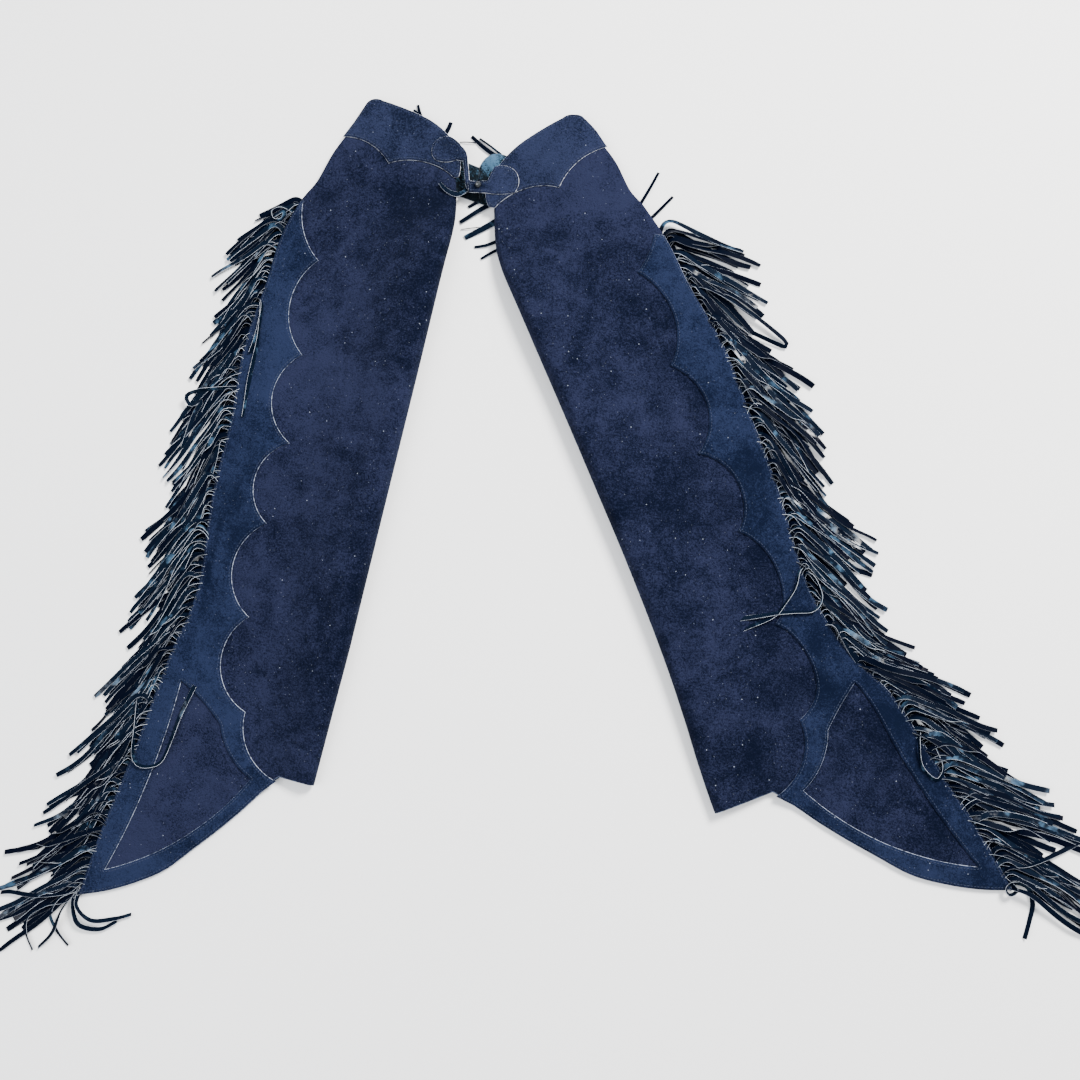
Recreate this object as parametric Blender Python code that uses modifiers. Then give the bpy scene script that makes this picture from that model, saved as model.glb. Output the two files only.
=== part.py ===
# Fringed leather chaps: two wrapped legs with a scalloped outer strip that runs
# into a heel flare, yokes joined at the centre front, and fringe in the outer seams.
# They lie on their back with the front up: +X is to the right, +Y to the waist, +Z up.
#
# A leg is drawn flat in its own pattern, in millimetres:
#   across  from the soft fold on the inner side towards the outer seam
#   along   from the crotch down the leg, so the waist is at negative values

import math
from collections import namedtuple

import bmesh
import bpy
from mathutils import Vector
from mathutils.geometry import delaunay_2d_cdt

MM = 0.001                 # pattern sizes are in millimetres

# Leather and the layers it makes when it lies flat
LEG_LEATHER = 1.8
TRIM_LEATHER = 1.4
BACK_LEATHER = 1.6
BACK_FRINGE_THICKNESS = 1.5
LEG_FRINGE_THICKNESS = 9.0
LAYER_GAP = 0.4            # between two flat layers
TRIM_GAP = 1.0             # under a trim that follows the soft fold
SEAM_GAP = 0.3
FRINGE_GAP = 2.5           # beside the outer seam, whose rows are coarser

# The leg
HEM_ALONG = 711.0          # hem, below the crotch
FLARE_STARTS = 600.0       # below this the rows slant towards the flare's edge
FLARE_TIP_ALONG = 905.0
STRIP_LINE = 140.0         # where the scalloped edge runs, on average
NOTCH_ACROSS = 48.0        # where the hem meets the flare

# The origin is under the middle of the whole garment
MIDDLE_X = -5.8
MIDDLE_Y = 33.6

Edge = namedtuple("Edge", "along inner outer")
EDGES = [
    Edge(-104, 26, 154),
    Edge(-60, 14, 173),
    Edge(-15, 3, 185),
    Edge(12, 0, 198),
    Edge(60, 0, 211),
    Edge(120, 0, 215),
    Edge(210, 0, 223),
    Edge(300, 0, 216),
    Edge(400, 0, 214),
    Edge(500, 0, 203),
    Edge(545, 0, 205),
    Edge(600, 1, 215),
    Edge(711, 3, 227),
    Edge(760, 3, 233),
    Edge(830, 3, 243),
    Edge(905, 3, 249),
]

# Height of the soft inner fold and how far its swell reaches across the leg
Fold = namedtuple("Fold", "along height reach")
FOLDS = [
    Fold(-104, 10, 50),
    Fold(-40, 10, 70),
    Fold(60, 25, 110),
    Fold(350, 27, 120),
    Fold(600, 22, 105),
    Fold(711, 17, 80),
    Fold(905, 17, 80),
]

# The lower edge: level hem, then the long curve out to the flare's tip
Bottom = namedtuple("Bottom", "across along")
BOTTOMS = [
    Bottom(0, HEM_ALONG),
    Bottom(NOTCH_ACROSS, HEM_ALONG),
    Bottom(64, 735),
    Bottom(82, 762),
    Bottom(104, 791),
    Bottom(127, 819),
    Bottom(154, 851),
    Bottom(185, 874),
    Bottom(217, 892),
    Bottom(249, FLARE_TIP_ALONG),
]

# How each leg lies: its crotch, its angle, its stretch along, and by how much
# the fold, the strip and the outer seam have rolled sideways
Roll = namedtuple("Roll", "along inner strip outer")
LEGS = {
    "left": {
        "side": -1,
        "crotch": (-103.0, 393.0),
        "angle": 13.3,
        "stretch": 0.99,
        "waist_stretch": 0.955,
        "rolls": [Roll(-150, 0, 0, -2), Roll(905, 0, 0, 0)],
    },
    "right": {
        "side": 1,
        "crotch": (-54.0, 350.0),
        "angle": 20.5,
        "stretch": 1.01,
        "waist_stretch": 0.95,
        "rolls": [
            Roll(-150, 12, 12, 20),
            Roll(-60, 5, 6, 5),
            Roll(20, 1, 0, -8),
            Roll(85, 3, -1, -10),
            Roll(205, 8, 2, -5),
            Roll(316, 12, 5, 1),
            Roll(418, 15, 13, -1),
            Roll(534, 15, 21, 3),
            Roll(600, 11, 26, 8),
            Roll(655, 6, 31, 26),
            Roll(712, 3, 31, 32),
            Roll(905, 3, 38, 42),
        ],
    },
}

# The strip's inner edge: its top, where the fringe starts too, then its points,
# and how deep the leather is cut back between one point and the next
Scallop = namedtuple("Scallop", "across along bite")
STRIP_TOPS = {"left": Scallop(195, 12, 9), "right": Scallop(198, 47, 3)}
SCALLOPS = [
    Scallop(156, 84, 27),
    Scallop(147, 204, 30),
    Scallop(135, 315, 30),
    Scallop(138, 418, 32),
    Scallop(130, 534, 33),
    Scallop(106, 646, 17),
    Scallop(NOTCH_ACROSS, 717, 0),
]

# Window in the flare, round from its top; a positive bulge swells outwards
Corner = namedtuple("Corner", "across along bulge")
WINDOW = [
    Corner(192, 628, -8),
    Corner(225, 868, 17),
    Corner(80, 722, -8),
    Corner(132, 668, 3),
]

# Front yoke, round from the foot of its front end, along the waist, down the
# hip and back along the scalloped lower edge
FRONT_YOKES = {
    "left": [
        Corner(9, -57, 1),
        Corner(11, -76, 1),
        Corner(17, -97, 0),
        Corner(44, -117, 1),
        Corner(72, -129, 1),
        Corner(126, -139, 4),
        Corner(147, -132, 0),
        Corner(167, -81, -10),
        Corner(100, -58, -13),
        Corner(15, -55, 0),
    ],
    "right": [
        Corner(8, -62, 1),
        Corner(9, -80, 1),
        Corner(18, -98, 0),
        Corner(44, -117, 1),
        Corner(72, -129, 1),
        Corner(126, -139, 4),
        Corner(147, -132, 0),
        Corner(167, -81, -10),
        Corner(97, -53, -13),
        Corner(14, -57, 0),
    ],
}

# Round-ended tab at each front end; the two cross the gap and snap together
FRONT_TABS = {
    "left": [
        Corner(-20, -44, 0),
        Corner(-22, -56, 0),
        Corner(-5, -56, 0),
        Corner(3, -82, 2),
        Corner(14, -97, 1),
        Corner(31, -108, 14),
        Corner(43, -74, 3),
        Corner(17, -78, 0),
        Corner(8, -78, 0),
        Corner(-1, -50, 0),
        Corner(-4, -44, 0),
    ],
    "right": [
        Corner(-10, -88, 0),
        Corner(-8, -102, 0),
        Corner(16, -94, 0),
        Corner(28, -109, 17),
        Corner(43, -67, 2),
        Corner(10, -79, 0),
    ],
}
TAB_DROP = 2.2             # the left tab steps down under the right one
TAB_DROP_ENDS = (5.0, -2.0)

# Back yoke: its hip side in the leg's pattern; it ends at the centre back
BACK_YOKES = {
    "left": [
        Corner(14, -84, 0),
        Corner(69, -122, 2),
        Corner(126, -134, 4),
        Corner(144, -127, 0),
        Corner(163, -74, -3),
        Corner(70, -42, -3),
        Corner(16, -38, 0),
    ],
    "right": [
        Corner(50, -118, 0),
        Corner(72, -122, 2),
        Corner(126, -134, 4),
        Corner(144, -127, 0),
        Corner(163, -74, -3),
        Corner(70, -46, -3),
        Corner(16, -60, 0),
    ],
}
CENTRE_BACK = ((-75.0, 418.0), (-75.0, 464.0))

# How far the back yoke's fringe reaches; the right one fills the gap at the waist
BACK_FRINGE = [
    Corner(30, -122, 0),
    Corner(80, -148, 0),
    Corner(140, -158, 0),
    Corner(170, -130, 0),
    Corner(212, -50, 0),
    Corner(203, -6, 0),
    Corner(188, 22, 0),
    Corner(60, 40, 0),
]
FRINGE_MEETING = ((-101.0, 352.0), (-101.0, 508.0))
BACK_LIFT_ENDS = (60.0, 200.0)     # the leg lies on the back fringe above these

# The leg fringe's reach past the outer seam, from the hip down and round the tip
Reach = namedtuple("Reach", "across along")
FRINGE_REACH = [
    Reach(214, 4),
    Reach(262, 40),
    Reach(284, 120),
    Reach(284, 250),
    Reach(286, 400),
    Reach(292, 450),
    Reach(290, 540),
    Reach(284, 640),
    Reach(296, 725),
    Reach(322, 810),
    Reach(352, 890),
    Reach(350, 935),
    Reach(320, 985),
    Reach(262, 1000),
    Reach(205, 950),
    Reach(178, 915),
]

SNAP_MIDDLE = (-74.6, 436.0)
SNAP_RADIUS = 3.8
SNAP_HEIGHT = 2.4

# Lengthwise lines of a leg's front and back layers, as distances across its foot
LINES = (22, 48, 75, 104, 133, 162, 190, 220, 249)
FOLD_STEPS = 6
TOP_ROW = (-62.0, -100.0)          # at the fold and at the hip, both under the yoke
ROWS = (-38, -8, 25, 60, 110, 165, 225, 290, 355, 420, 480, 530, 570)
FLARE_ROWS = 7
PANEL_SPACING = 24.0
SEAM_STEP = 35.0


def between(rows, column, along):
    """A column of a table at a station between its rows, eased from row to row."""
    keys = [row.along for row in rows]
    values = [getattr(row, column) for row in rows]
    if along <= keys[0]:
        return values[0]
    if along >= keys[-1]:
        return values[-1]
    i = max(k for k in range(len(keys) - 1) if keys[k] <= along)
    slopes = []
    for k in (i, i + 1):
        before = max(k - 1, 0)
        after = min(k + 1, len(keys) - 1)
        slopes.append((values[after] - values[before]) / (keys[after] - keys[before]))
    width = keys[i + 1] - keys[i]
    t = (along - keys[i]) / width
    start = (1 + 2 * t) * (1 - t) ** 2 * values[i] + t * (1 - t) ** 2 * width * slopes[0]
    end = t * t * (3 - 2 * t) * values[i + 1] + t * t * (t - 1) * width * slopes[1]
    return start + end


def ease(value):
    value = min(max(value, 0.0), 1.0)
    return value * value * (3 - 2 * value)


def bottom_along(across):
    """Where the lower edge lies under a point of the leg."""
    for low, high in zip(BOTTOMS, BOTTOMS[1:]):
        if across <= high.across:
            t = (across - low.across) / (high.across - low.across)
            return low.along + t * (high.along - low.along)
    return BOTTOMS[-1].along


def rolled(leg, across, along):
    """Move a pattern point sideways by the leg's roll at that station."""
    inner = between(leg["rolls"], "inner", along)
    strip = between(leg["rolls"], "strip", along)
    outer = between(leg["rolls"], "outer", along)
    seam = between(EDGES, "outer", along)
    if across < NOTCH_ACROSS:
        return across + inner + (strip - inner) * ease(across / NOTCH_ACROSS)
    if across < STRIP_LINE:
        return across + strip
    return across + strip + (outer - strip) * min((across - STRIP_LINE) / (seam - STRIP_LINE), 1.3)


def place(leg, across, along, height):
    """A pattern point as a point of the garment, in metres."""
    angle = math.radians(leg["angle"])
    side = leg["side"]
    out = rolled(leg, across, along)
    down = along * (leg["waist_stretch"] if along < 0 else leg["stretch"])
    x = leg["crotch"][0] + side * (out * math.cos(angle) + down * math.sin(angle))
    y = leg["crotch"][1] + out * math.sin(angle) - down * math.cos(angle)
    return Vector((x - MIDDLE_X, y - MIDDLE_Y, height)) * MM


def back_height(along):
    """Underside of the leg: on the floor, or on the back yoke and its fringe."""
    lift = BACK_FRINGE_THICKNESS + BACK_LEATHER + 2 * LAYER_GAP
    start, end = BACK_LIFT_ENDS
    return lift * (1 - ease((along - start) / (end - start)))


def front_height(across, along):
    """Top of the leg's front layer."""
    flat = 2 * LEG_LEATHER + LAYER_GAP
    fold = between(FOLDS, "height", along)
    reach = between(FOLDS, "reach", along)
    radius = fold / 2
    swell = 1 - ease((across - radius) / (reach - radius))
    return back_height(along) + flat + (fold - flat) * swell


def arc(start, end, bulge, steps):
    """Points after start up to end, on an arc that leaves the chord by bulge."""
    chord = end - start
    middle = (start + end) / 2
    sideways = Vector((chord.y, -chord.x)).normalized()
    if abs(bulge) < 0.01:
        return [end]
    half = chord.length / 2
    radius = (half * half + bulge * bulge) / (2 * bulge)
    centre = middle - sideways * (radius - bulge)
    sweep = math.asin(max(-1.0, min(1.0, half / radius)))
    if abs(bulge) > half:
        sweep = math.copysign(math.pi, sweep) - sweep
    points = []
    for step in range(1, steps):
        angle = sweep * (2 * step / steps - 1)
        forward = chord.normalized() * math.sin(angle) * radius
        points.append(centre + forward + sideways * math.cos(angle) * radius)
    return points + [end]


def outline(corners, steps=6):
    """A closed outline through the corners, each side bulged as its row says."""
    points = []
    for k, corner in enumerate(corners):
        after = corners[(k + 1) % len(corners)]
        start = Vector((corner.across, corner.along))
        end = Vector((after.across, after.along))
        points += arc(start, end, corner.bulge, steps)
    return points


def inside(point, polygon):
    crossed = False
    for a, b in zip(polygon, polygon[1:] + polygon[:1]):
        if (a.y > point.y) != (b.y > point.y):
            if point.x < a.x + (point.y - a.y) / (b.y - a.y) * (b.x - a.x):
                crossed = not crossed
    return crossed


def edge_distance(point, polygon):
    nearest = 1e9
    for a, b in zip(polygon, polygon[1:] + polygon[:1]):
        t = max(0.0, min(1.0, (point - a).dot(b - a) / max((b - a).length_squared, 1e-9)))
        nearest = min(nearest, (a + (b - a) * t - point).length)
    return nearest


def fill(border, hole, spacing):
    """Triangles of a flat panel, with points inside it so that it can bend."""
    points = list(border)
    edges = [(k, (k + 1) % len(border)) for k in range(len(border))]
    if hole:
        first = len(points)
        points += hole
        edges += [(first + k, first + (k + 1) % len(hole)) for k in range(len(hole))]
    low_x = min(p.x for p in border)
    high_x = max(p.x for p in border)
    low_y = min(p.y for p in border)
    high_y = max(p.y for p in border)
    row = 0
    y = low_y
    while spacing and y < high_y:
        x = low_x + spacing * (0.5 if row % 2 else 0.0)
        while x < high_x:
            point = Vector((x, y))
            clear = inside(point, border) and edge_distance(point, border) > spacing * 0.45
            if clear and hole:
                clear = not inside(point, hole) and edge_distance(point, hole) > spacing * 0.45
            if clear:
                points.append(point)
            x += spacing
        y += spacing * 0.866
        row += 1
    filled = delaunay_2d_cdt(points, edges, [], 0, 1e-4)
    triangles = []
    for face in filled[2]:
        centre = sum((filled[0][k] for k in face), Vector((0, 0))) / len(face)
        if inside(centre, border) and not (hole and inside(centre, hole)):
            triangles.append(face)
    return filled[0], triangles


def leather(name, colour, roughness):
    material = bpy.data.materials.new(name)
    material.use_nodes = True
    shader = material.node_tree.nodes["Principled BSDF"]
    shader.inputs["Base Color"].default_value = (*colour, 1.0)
    shader.inputs["Roughness"].default_value = roughness
    return material


def add_object(name, mesh, material, collection):
    mesh.materials.append(material)
    thing = bpy.data.objects.new(name, mesh)
    collection.objects.link(thing)
    return thing


def thicken(thing, thickness, offset):
    solidify = thing.modifiers.new("Leather thickness", "SOLIDIFY")
    solidify.thickness = thickness * MM
    solidify.offset = offset
    solidify.use_even_offset = True


def add_panel(name, border, hole, spacing, lift, thickness, material, collection):
    """A flat-cut panel, laid on the heights that lift gives and thickened upwards."""
    points, triangles = fill(border, hole, spacing)
    shape = bmesh.new()
    corners = [shape.verts.new(lift(point)) for point in points]
    for triangle in triangles:
        face = shape.faces.new([corners[k] for k in triangle])
        face.normal_update()
        if face.normal.z < 0:
            face.normal_flip()
    for corner in [v for v in shape.verts if not v.link_faces]:
        shape.verts.remove(corner)
    mesh = bpy.data.meshes.new(name)
    shape.to_mesh(mesh)
    shape.free()
    thing = add_object(name, mesh, material, collection)
    thicken(thing, thickness, 1.0)
    return thing


def line_point(line, along, share):
    """Where a lengthwise line crosses a row, as across and along."""
    foot = LINES[-1]
    if share is None:
        fold = between(EDGES, "inner", along)
        return fold + line / foot * (between(EDGES, "outer", along) - fold), along
    end = bottom_along(line)
    low = FLARE_STARTS + share * (end - FLARE_STARTS)
    fold = between(EDGES, "inner", low)
    across = fold + line / foot * (between(EDGES, "outer", low) - fold)
    across_at_end = fold + line / foot * (between(EDGES, "outer", end) - fold)
    return across + share * (line - across_at_end), low


def leg_row(leg, along, share):
    """One row of a leg: front layer from the seam, round the fold, and back again."""
    points = []
    for line in LINES:
        if share is None and along == TOP_ROW[0]:
            slanted = TOP_ROW[0] + line / LINES[-1] * (TOP_ROW[1] - TOP_ROW[0])
            points.append(line_point(line, slanted, None))
        else:
            points.append(line_point(line, along, share))
    front = [place(leg, a, b, front_height(a, b)) for a, b in reversed(points)]
    back = [place(leg, a, b, back_height(b)) for a, b in points]
    at_fold = along if share is None else FLARE_STARTS + share * (HEM_ALONG - FLARE_STARTS)
    radius = between(FOLDS, "height", at_fold) / 2
    middle = between(EDGES, "inner", at_fold) + radius
    curve = []
    for step in range(FOLD_STEPS + 1):
        angle = math.pi * (0.5 + step / FOLD_STEPS)
        height = back_height(at_fold) + radius + radius * math.sin(angle)
        curve.append(place(leg, middle + radius * math.cos(angle), at_fold, height))
    return front + curve + back


def add_leg(side, material, collection):
    leg = LEGS[side]
    rows = [leg_row(leg, along, None) for along in (TOP_ROW[0],) + ROWS]
    rows += [leg_row(leg, None, step / FLARE_ROWS) for step in range(FLARE_ROWS + 1)]
    shape = bmesh.new()
    grid = [[shape.verts.new(point) for point in row] for row in rows]
    for upper, lower in zip(grid, grid[1:]):
        for k in range(len(upper) - 1):
            shape.faces.new((upper[k], upper[k + 1], lower[k + 1], lower[k]))
    shape.normal_update()
    shape.faces.ensure_lookup_table()
    if shape.faces[0].normal.z < 0:
        bmesh.ops.reverse_faces(shape, faces=shape.faces)
    mesh = bpy.data.meshes.new(side + "_leg")
    shape.to_mesh(mesh)
    shape.free()
    thing = add_object(side + "_leg", mesh, material, collection)
    thicken(thing, LEG_LEATHER, -1.0)


def seam_points(side, outwards):
    """Points down the outer seam from the fringe's top, moved outwards."""
    top = STRIP_TOPS[side].along + 4
    steps = round((FLARE_TIP_ALONG - top) / SEAM_STEP)
    stations = [top + (FLARE_TIP_ALONG - top) * step / steps for step in range(steps + 1)]
    return [Vector((between(EDGES, "outer", s) + outwards, s)) for s in stations]


def add_flare_strip(side, material, collection):
    leg = LEGS[side]
    top = STRIP_TOPS[side]
    border = [Vector((top.across, top.along))]
    for point, after in zip([top] + SCALLOPS, SCALLOPS):
        start = Vector((point.across, point.along))
        end = Vector((after.across, after.along))
        border += arc(start, end, point.bite, 8)
    border += [Vector(row) for row in BOTTOMS[2:-1]]
    border += list(reversed(seam_points(side, -SEAM_GAP)))

    def lift(point):
        return place(leg, point.x, point.y, front_height(point.x, point.y) + TRIM_GAP)

    window = outline(WINDOW)
    name = side + "_flare_strip"
    add_panel(name, border, window, PANEL_SPACING, lift, TRIM_LEATHER, material, collection)


def add_front_yoke(side, material, collection):
    leg = LEGS[side]

    def lift(point):
        return place(leg, point.x, point.y, front_height(point.x, point.y) + TRIM_GAP)

    name = side + "_front_yoke"
    border = outline(FRONT_YOKES[side])
    add_panel(name, border, [], PANEL_SPACING / 2, lift, TRIM_LEATHER, material, collection)


def tab_height(side, across, along):
    """Underside of a front tab, above the yoke it is sewn on."""
    height = front_height(across, along) + 2 * TRIM_GAP + TRIM_LEATHER
    if side == "left":
        start, end = TAB_DROP_ENDS
        height -= TAB_DROP * ease((start - across) / (start - end))
    return height


def add_front_tab(side, material, collection):
    leg = LEGS[side]

    def lift(point):
        return place(leg, point.x, point.y, tab_height(side, point.x, point.y))

    name = side + "_front_tab"
    border = outline(FRONT_TABS[side])
    add_panel(name, border, [], PANEL_SPACING / 4, lift, TRIM_LEATHER, material, collection)


def add_flat_piece(name, side, corners, meeting, height, thickness, material, collection):
    """A flat back piece: a leg's corners, closed by the line where two halves meet."""
    leg = LEGS[side]
    points = []
    for point in outline(corners)[:-1]:
        points.append(place(leg, point.x, point.y, 0).xy / MM)
    first = place(leg, corners[0].across, corners[0].along, 0).xy / MM
    clear = Vector((leg["side"] * SEAM_GAP / 2, 0))
    middle = Vector((MIDDLE_X, MIDDLE_Y))
    ends = [Vector(end) - middle + clear for end in meeting]
    border = [first] + points + ends
    add_panel(name, border, [], 0, lambda p: Vector((p.x, p.y, height)) * MM,
              thickness, material, collection)


def add_leg_fringe(side, material, collection):
    leg = LEGS[side]
    border = seam_points(side, FRINGE_GAP)
    for row in reversed(BOTTOMS[-3:]):
        border.append(Vector((row.across, row.along + FRINGE_GAP)))
    drop = STRIP_TOPS[side].along - STRIP_TOPS["left"].along
    for row in reversed(FRINGE_REACH):
        border.append(Vector((row.across, row.along + (drop if row.along < 100 else 0))))

    def lift(point):
        return place(leg, point.x, point.y, 0)

    name = side + "_leg_fringe"
    add_panel(name, border, [], 0, lift, LEG_FRINGE_THICKNESS, material, collection)


def add_snap(material, collection):
    """A low round cap that stands on the right front tab."""
    leg = LEGS["right"]
    base = tab_height("right", 0, FRONT_TABS["right"][0].along) + TRIM_LEATHER + LAYER_GAP
    shape = bmesh.new()
    bmesh.ops.create_cone(shape, cap_ends=True, segments=24, radius1=SNAP_RADIUS * MM,
                          radius2=SNAP_RADIUS * MM, depth=SNAP_HEIGHT * MM)
    x = SNAP_MIDDLE[0] - MIDDLE_X
    y = SNAP_MIDDLE[1] - MIDDLE_Y
    mesh = bpy.data.meshes.new("front_snap")
    shape.to_mesh(mesh)
    shape.free()
    snap = add_object("front_snap", mesh, material, collection)
    snap.location = Vector((x, y, base + SNAP_HEIGHT / 2)) * MM
    bevel = snap.modifiers.new("Round rim", "BEVEL")
    bevel.width = SNAP_HEIGHT * 0.35 * MM
    bevel.segments = 2


def main():
    for thing in list(bpy.data.objects):
        bpy.data.objects.remove(thing)
    chaps = bpy.data.collections.new("fringed leather chaps")
    bpy.context.scene.collection.children.link(chaps)
    suede = leather("navy suede", (0.024, 0.038, 0.085), 0.95)
    trim = leather("blue trim suede", (0.030, 0.050, 0.115), 0.95)
    reverse = leather("back yoke suede", (0.030, 0.050, 0.110), 0.9)
    strands = leather("fringe leather", (0.020, 0.036, 0.070), 0.6)
    metal = leather("snap metal", (0.25, 0.25, 0.26), 0.35)
    metal.node_tree.nodes["Principled BSDF"].inputs["Metallic"].default_value = 1.0
    for side in LEGS:
        add_leg(side, suede, chaps)
        add_flare_strip(side, trim, chaps)
        add_front_yoke(side, trim, chaps)
        add_front_tab(side, trim, chaps)
        add_flat_piece(side + "_back_yoke", side, BACK_YOKES[side], CENTRE_BACK,
                       BACK_FRINGE_THICKNESS + LAYER_GAP, BACK_LEATHER, reverse, chaps)
        add_flat_piece(side + "_back_fringe", side, BACK_FRINGE, FRINGE_MEETING,
                       0, BACK_FRINGE_THICKNESS, strands, chaps)
        add_leg_fringe(side, strands, chaps)
    add_snap(metal, chaps)


main()
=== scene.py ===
# Fringed suede chaps on a pale floor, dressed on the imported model.
# Pattern sizes are in millimetres: "across" runs from the soft inner fold to the
# outer seam, "along" from the crotch down the leg.
import math
import random

import bpy
import numpy as np
from mathutils import Matrix, Vector
from mathutils.geometry import delaunay_2d_cdt


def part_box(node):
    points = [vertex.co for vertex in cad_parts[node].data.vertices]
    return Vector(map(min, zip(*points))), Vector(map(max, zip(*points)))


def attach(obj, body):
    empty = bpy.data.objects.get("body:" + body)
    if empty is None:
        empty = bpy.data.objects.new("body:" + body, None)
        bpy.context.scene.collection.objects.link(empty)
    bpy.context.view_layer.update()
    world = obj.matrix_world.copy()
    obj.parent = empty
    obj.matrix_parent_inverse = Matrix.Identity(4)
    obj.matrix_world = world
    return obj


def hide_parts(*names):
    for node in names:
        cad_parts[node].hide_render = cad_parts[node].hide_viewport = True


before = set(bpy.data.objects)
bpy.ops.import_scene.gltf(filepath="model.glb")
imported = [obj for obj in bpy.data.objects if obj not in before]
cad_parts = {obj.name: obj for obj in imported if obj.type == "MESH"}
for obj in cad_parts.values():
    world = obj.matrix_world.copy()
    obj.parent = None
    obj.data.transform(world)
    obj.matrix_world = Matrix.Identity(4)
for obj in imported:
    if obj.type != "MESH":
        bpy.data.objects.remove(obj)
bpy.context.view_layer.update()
mm = 0.001

# the flat pattern of a leg, and the layers it makes when it lies flat
pattern = {
    # along, inner edge, outer seam
    "edges": [(-104, 26, 154), (-60, 14, 173), (-15, 3, 185), (12, 0, 198), (60, 0, 211),
              (120, 0, 215), (210, 0, 223), (300, 0, 216), (400, 0, 214), (500, 0, 203),
              (545, 0, 205), (600, 1, 215), (711, 3, 227), (760, 3, 233), (830, 3, 243),
              (905, 3, 249)],
    # along, height of the fold, reach of its swell
    "folds": [(-104, 10, 50), (-40, 10, 70), (60, 25, 110), (350, 27, 120), (600, 22, 105),
              (711, 17, 80), (905, 17, 80)],
    # across, along of the lower edge
    "flare": [(48, 711), (64, 735), (82, 762), (104, 791), (127, 819), (154, 851),
              (185, 874), (217, 892), (249, 905)],
    # across, along of the strip's points, and the depth of the bite after each
    "stripTops": {"left": (195, 12, 9), "right": (198, 47, 3)},
    "scallops": [(156, 84, 27), (147, 204, 30), (135, 315, 30), (138, 418, 32),
                 (130, 534, 33), (106, 646, 17), (48, 717, 0)],
    # across, along, bulge of the side that follows
    "window": [(192, 628, -8), (225, 868, 17), (80, 722, -8), (132, 668, 3)],
    "flareStarts": 600.0,
    "hem": 711.0,
    "tip": 905.0,
    "notch": 48.0,
    "stripLine": 140.0,
    "legLeather": 1.8,
    "trimLeather": 1.4,
    "backLeather": 1.6,
    "layerGap": 0.4,
    "backLift": (3.9, 60.0, 200.0),
}

# how each leg lies; rolls are along, and the sideways shift of fold, strip and seam
legs = {
    "left": {
        "side": -1, "crotch": (-103.0, 393.0), "angle": 13.3, "stretch": 0.99, "waistStretch": 0.955,
        "rolls": [(-150, 0, 0, -2), (905, 0, 0, 0)],
    },
    "right": {
        "side": 1, "crotch": (-54.0, 350.0), "angle": 20.5, "stretch": 1.01, "waistStretch": 0.95,
        "rolls": [(-150, 12, 12, 20), (-60, 5, 6, 5), (20, 1, 0, -8), (85, 3, -1, -10),
                  (205, 8, 2, -5), (316, 12, 5, 1), (418, 15, 13, -1), (534, 15, 21, 3),
                  (600, 11, 26, 8), (655, 6, 31, 26), (712, 3, 31, 32), (905, 3, 38, 42)],
    },
}
middle = (-5.8, 33.6)


def columnReader(rows, column):
    # eased through the rows of a table, read at any number of stations
    keys = np.array([row[0] for row in rows], float)
    values = np.array([row[column] for row in rows], float)
    slopes = np.empty(len(keys))
    for k in range(len(keys)):
        before, after = max(k - 1, 0), min(k + 1, len(keys) - 1)
        slopes[k] = (values[after] - values[before]) / (keys[after] - keys[before])

    def read(stations):
        at = np.clip(np.asarray(stations, float), keys[0], keys[-1])
        i = np.clip(np.searchsorted(keys, at, side="right") - 1, 0, len(keys) - 2)
        width = keys[i + 1] - keys[i]
        t = (at - keys[i]) / width
        start = (1 + 2 * t) * (1 - t) ** 2 * values[i] + t * (1 - t) ** 2 * width * slopes[i]
        end = t * t * (3 - 2 * t) * values[i + 1] + t * t * (t - 1) * width * slopes[i + 1]
        return start + end
    return read


innerEdge = columnReader(pattern["edges"], 1)
outerSeam = columnReader(pattern["edges"], 2)
foldHeight = columnReader(pattern["folds"], 1)
foldReach = columnReader(pattern["folds"], 2)
flareCurve = columnReader(pattern["flare"], 1)
for leg in legs.values():
    leg["rollFold"] = columnReader(leg["rolls"], 1)
    leg["rollStrip"] = columnReader(leg["rolls"], 2)
    leg["rollSeam"] = columnReader(leg["rolls"], 3)


def ease(value):
    value = np.clip(value, 0.0, 1.0)
    return value * value * (3 - 2 * value)


def bottomAlong(across):
    # straight across the leg, then the flare's curve from the notch to the tip
    return np.where(np.asarray(across) < pattern["notch"], pattern["hem"], flareCurve(across))


def rolled(leg, across, along):
    fold, strip, seamShift = leg["rollFold"](along), leg["rollStrip"](along), leg["rollSeam"](along)
    nearFold = across + fold + (strip - fold) * ease(across / pattern["notch"])
    share = (across - pattern["stripLine"]) / (outerSeam(along) - pattern["stripLine"])
    nearSeam = across + strip + (seamShift - strip) * np.clip(share, 0.0, 1.3)
    return np.where(across < pattern["notch"], nearFold, nearSeam)


def place(side, across, along, height):
    # pattern points as points of the garment, in metres
    leg = legs[side]
    across, along = np.asarray(across, float), np.asarray(along, float)
    angle = math.radians(leg["angle"])
    out = rolled(leg, across, along)
    down = along * np.where(along < 0, leg["waistStretch"], leg["stretch"])
    x = leg["crotch"][0] + leg["side"] * (out * math.cos(angle) + down * math.sin(angle)) - middle[0]
    y = leg["crotch"][1] + out * math.sin(angle) - down * math.cos(angle) - middle[1]
    return np.stack([x, y, np.broadcast_to(height, x.shape)], axis=-1) * mm


def backHeight(along):
    lift, start, end = pattern["backLift"]
    return lift * (1 - ease((along - start) / (end - start)))


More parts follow.
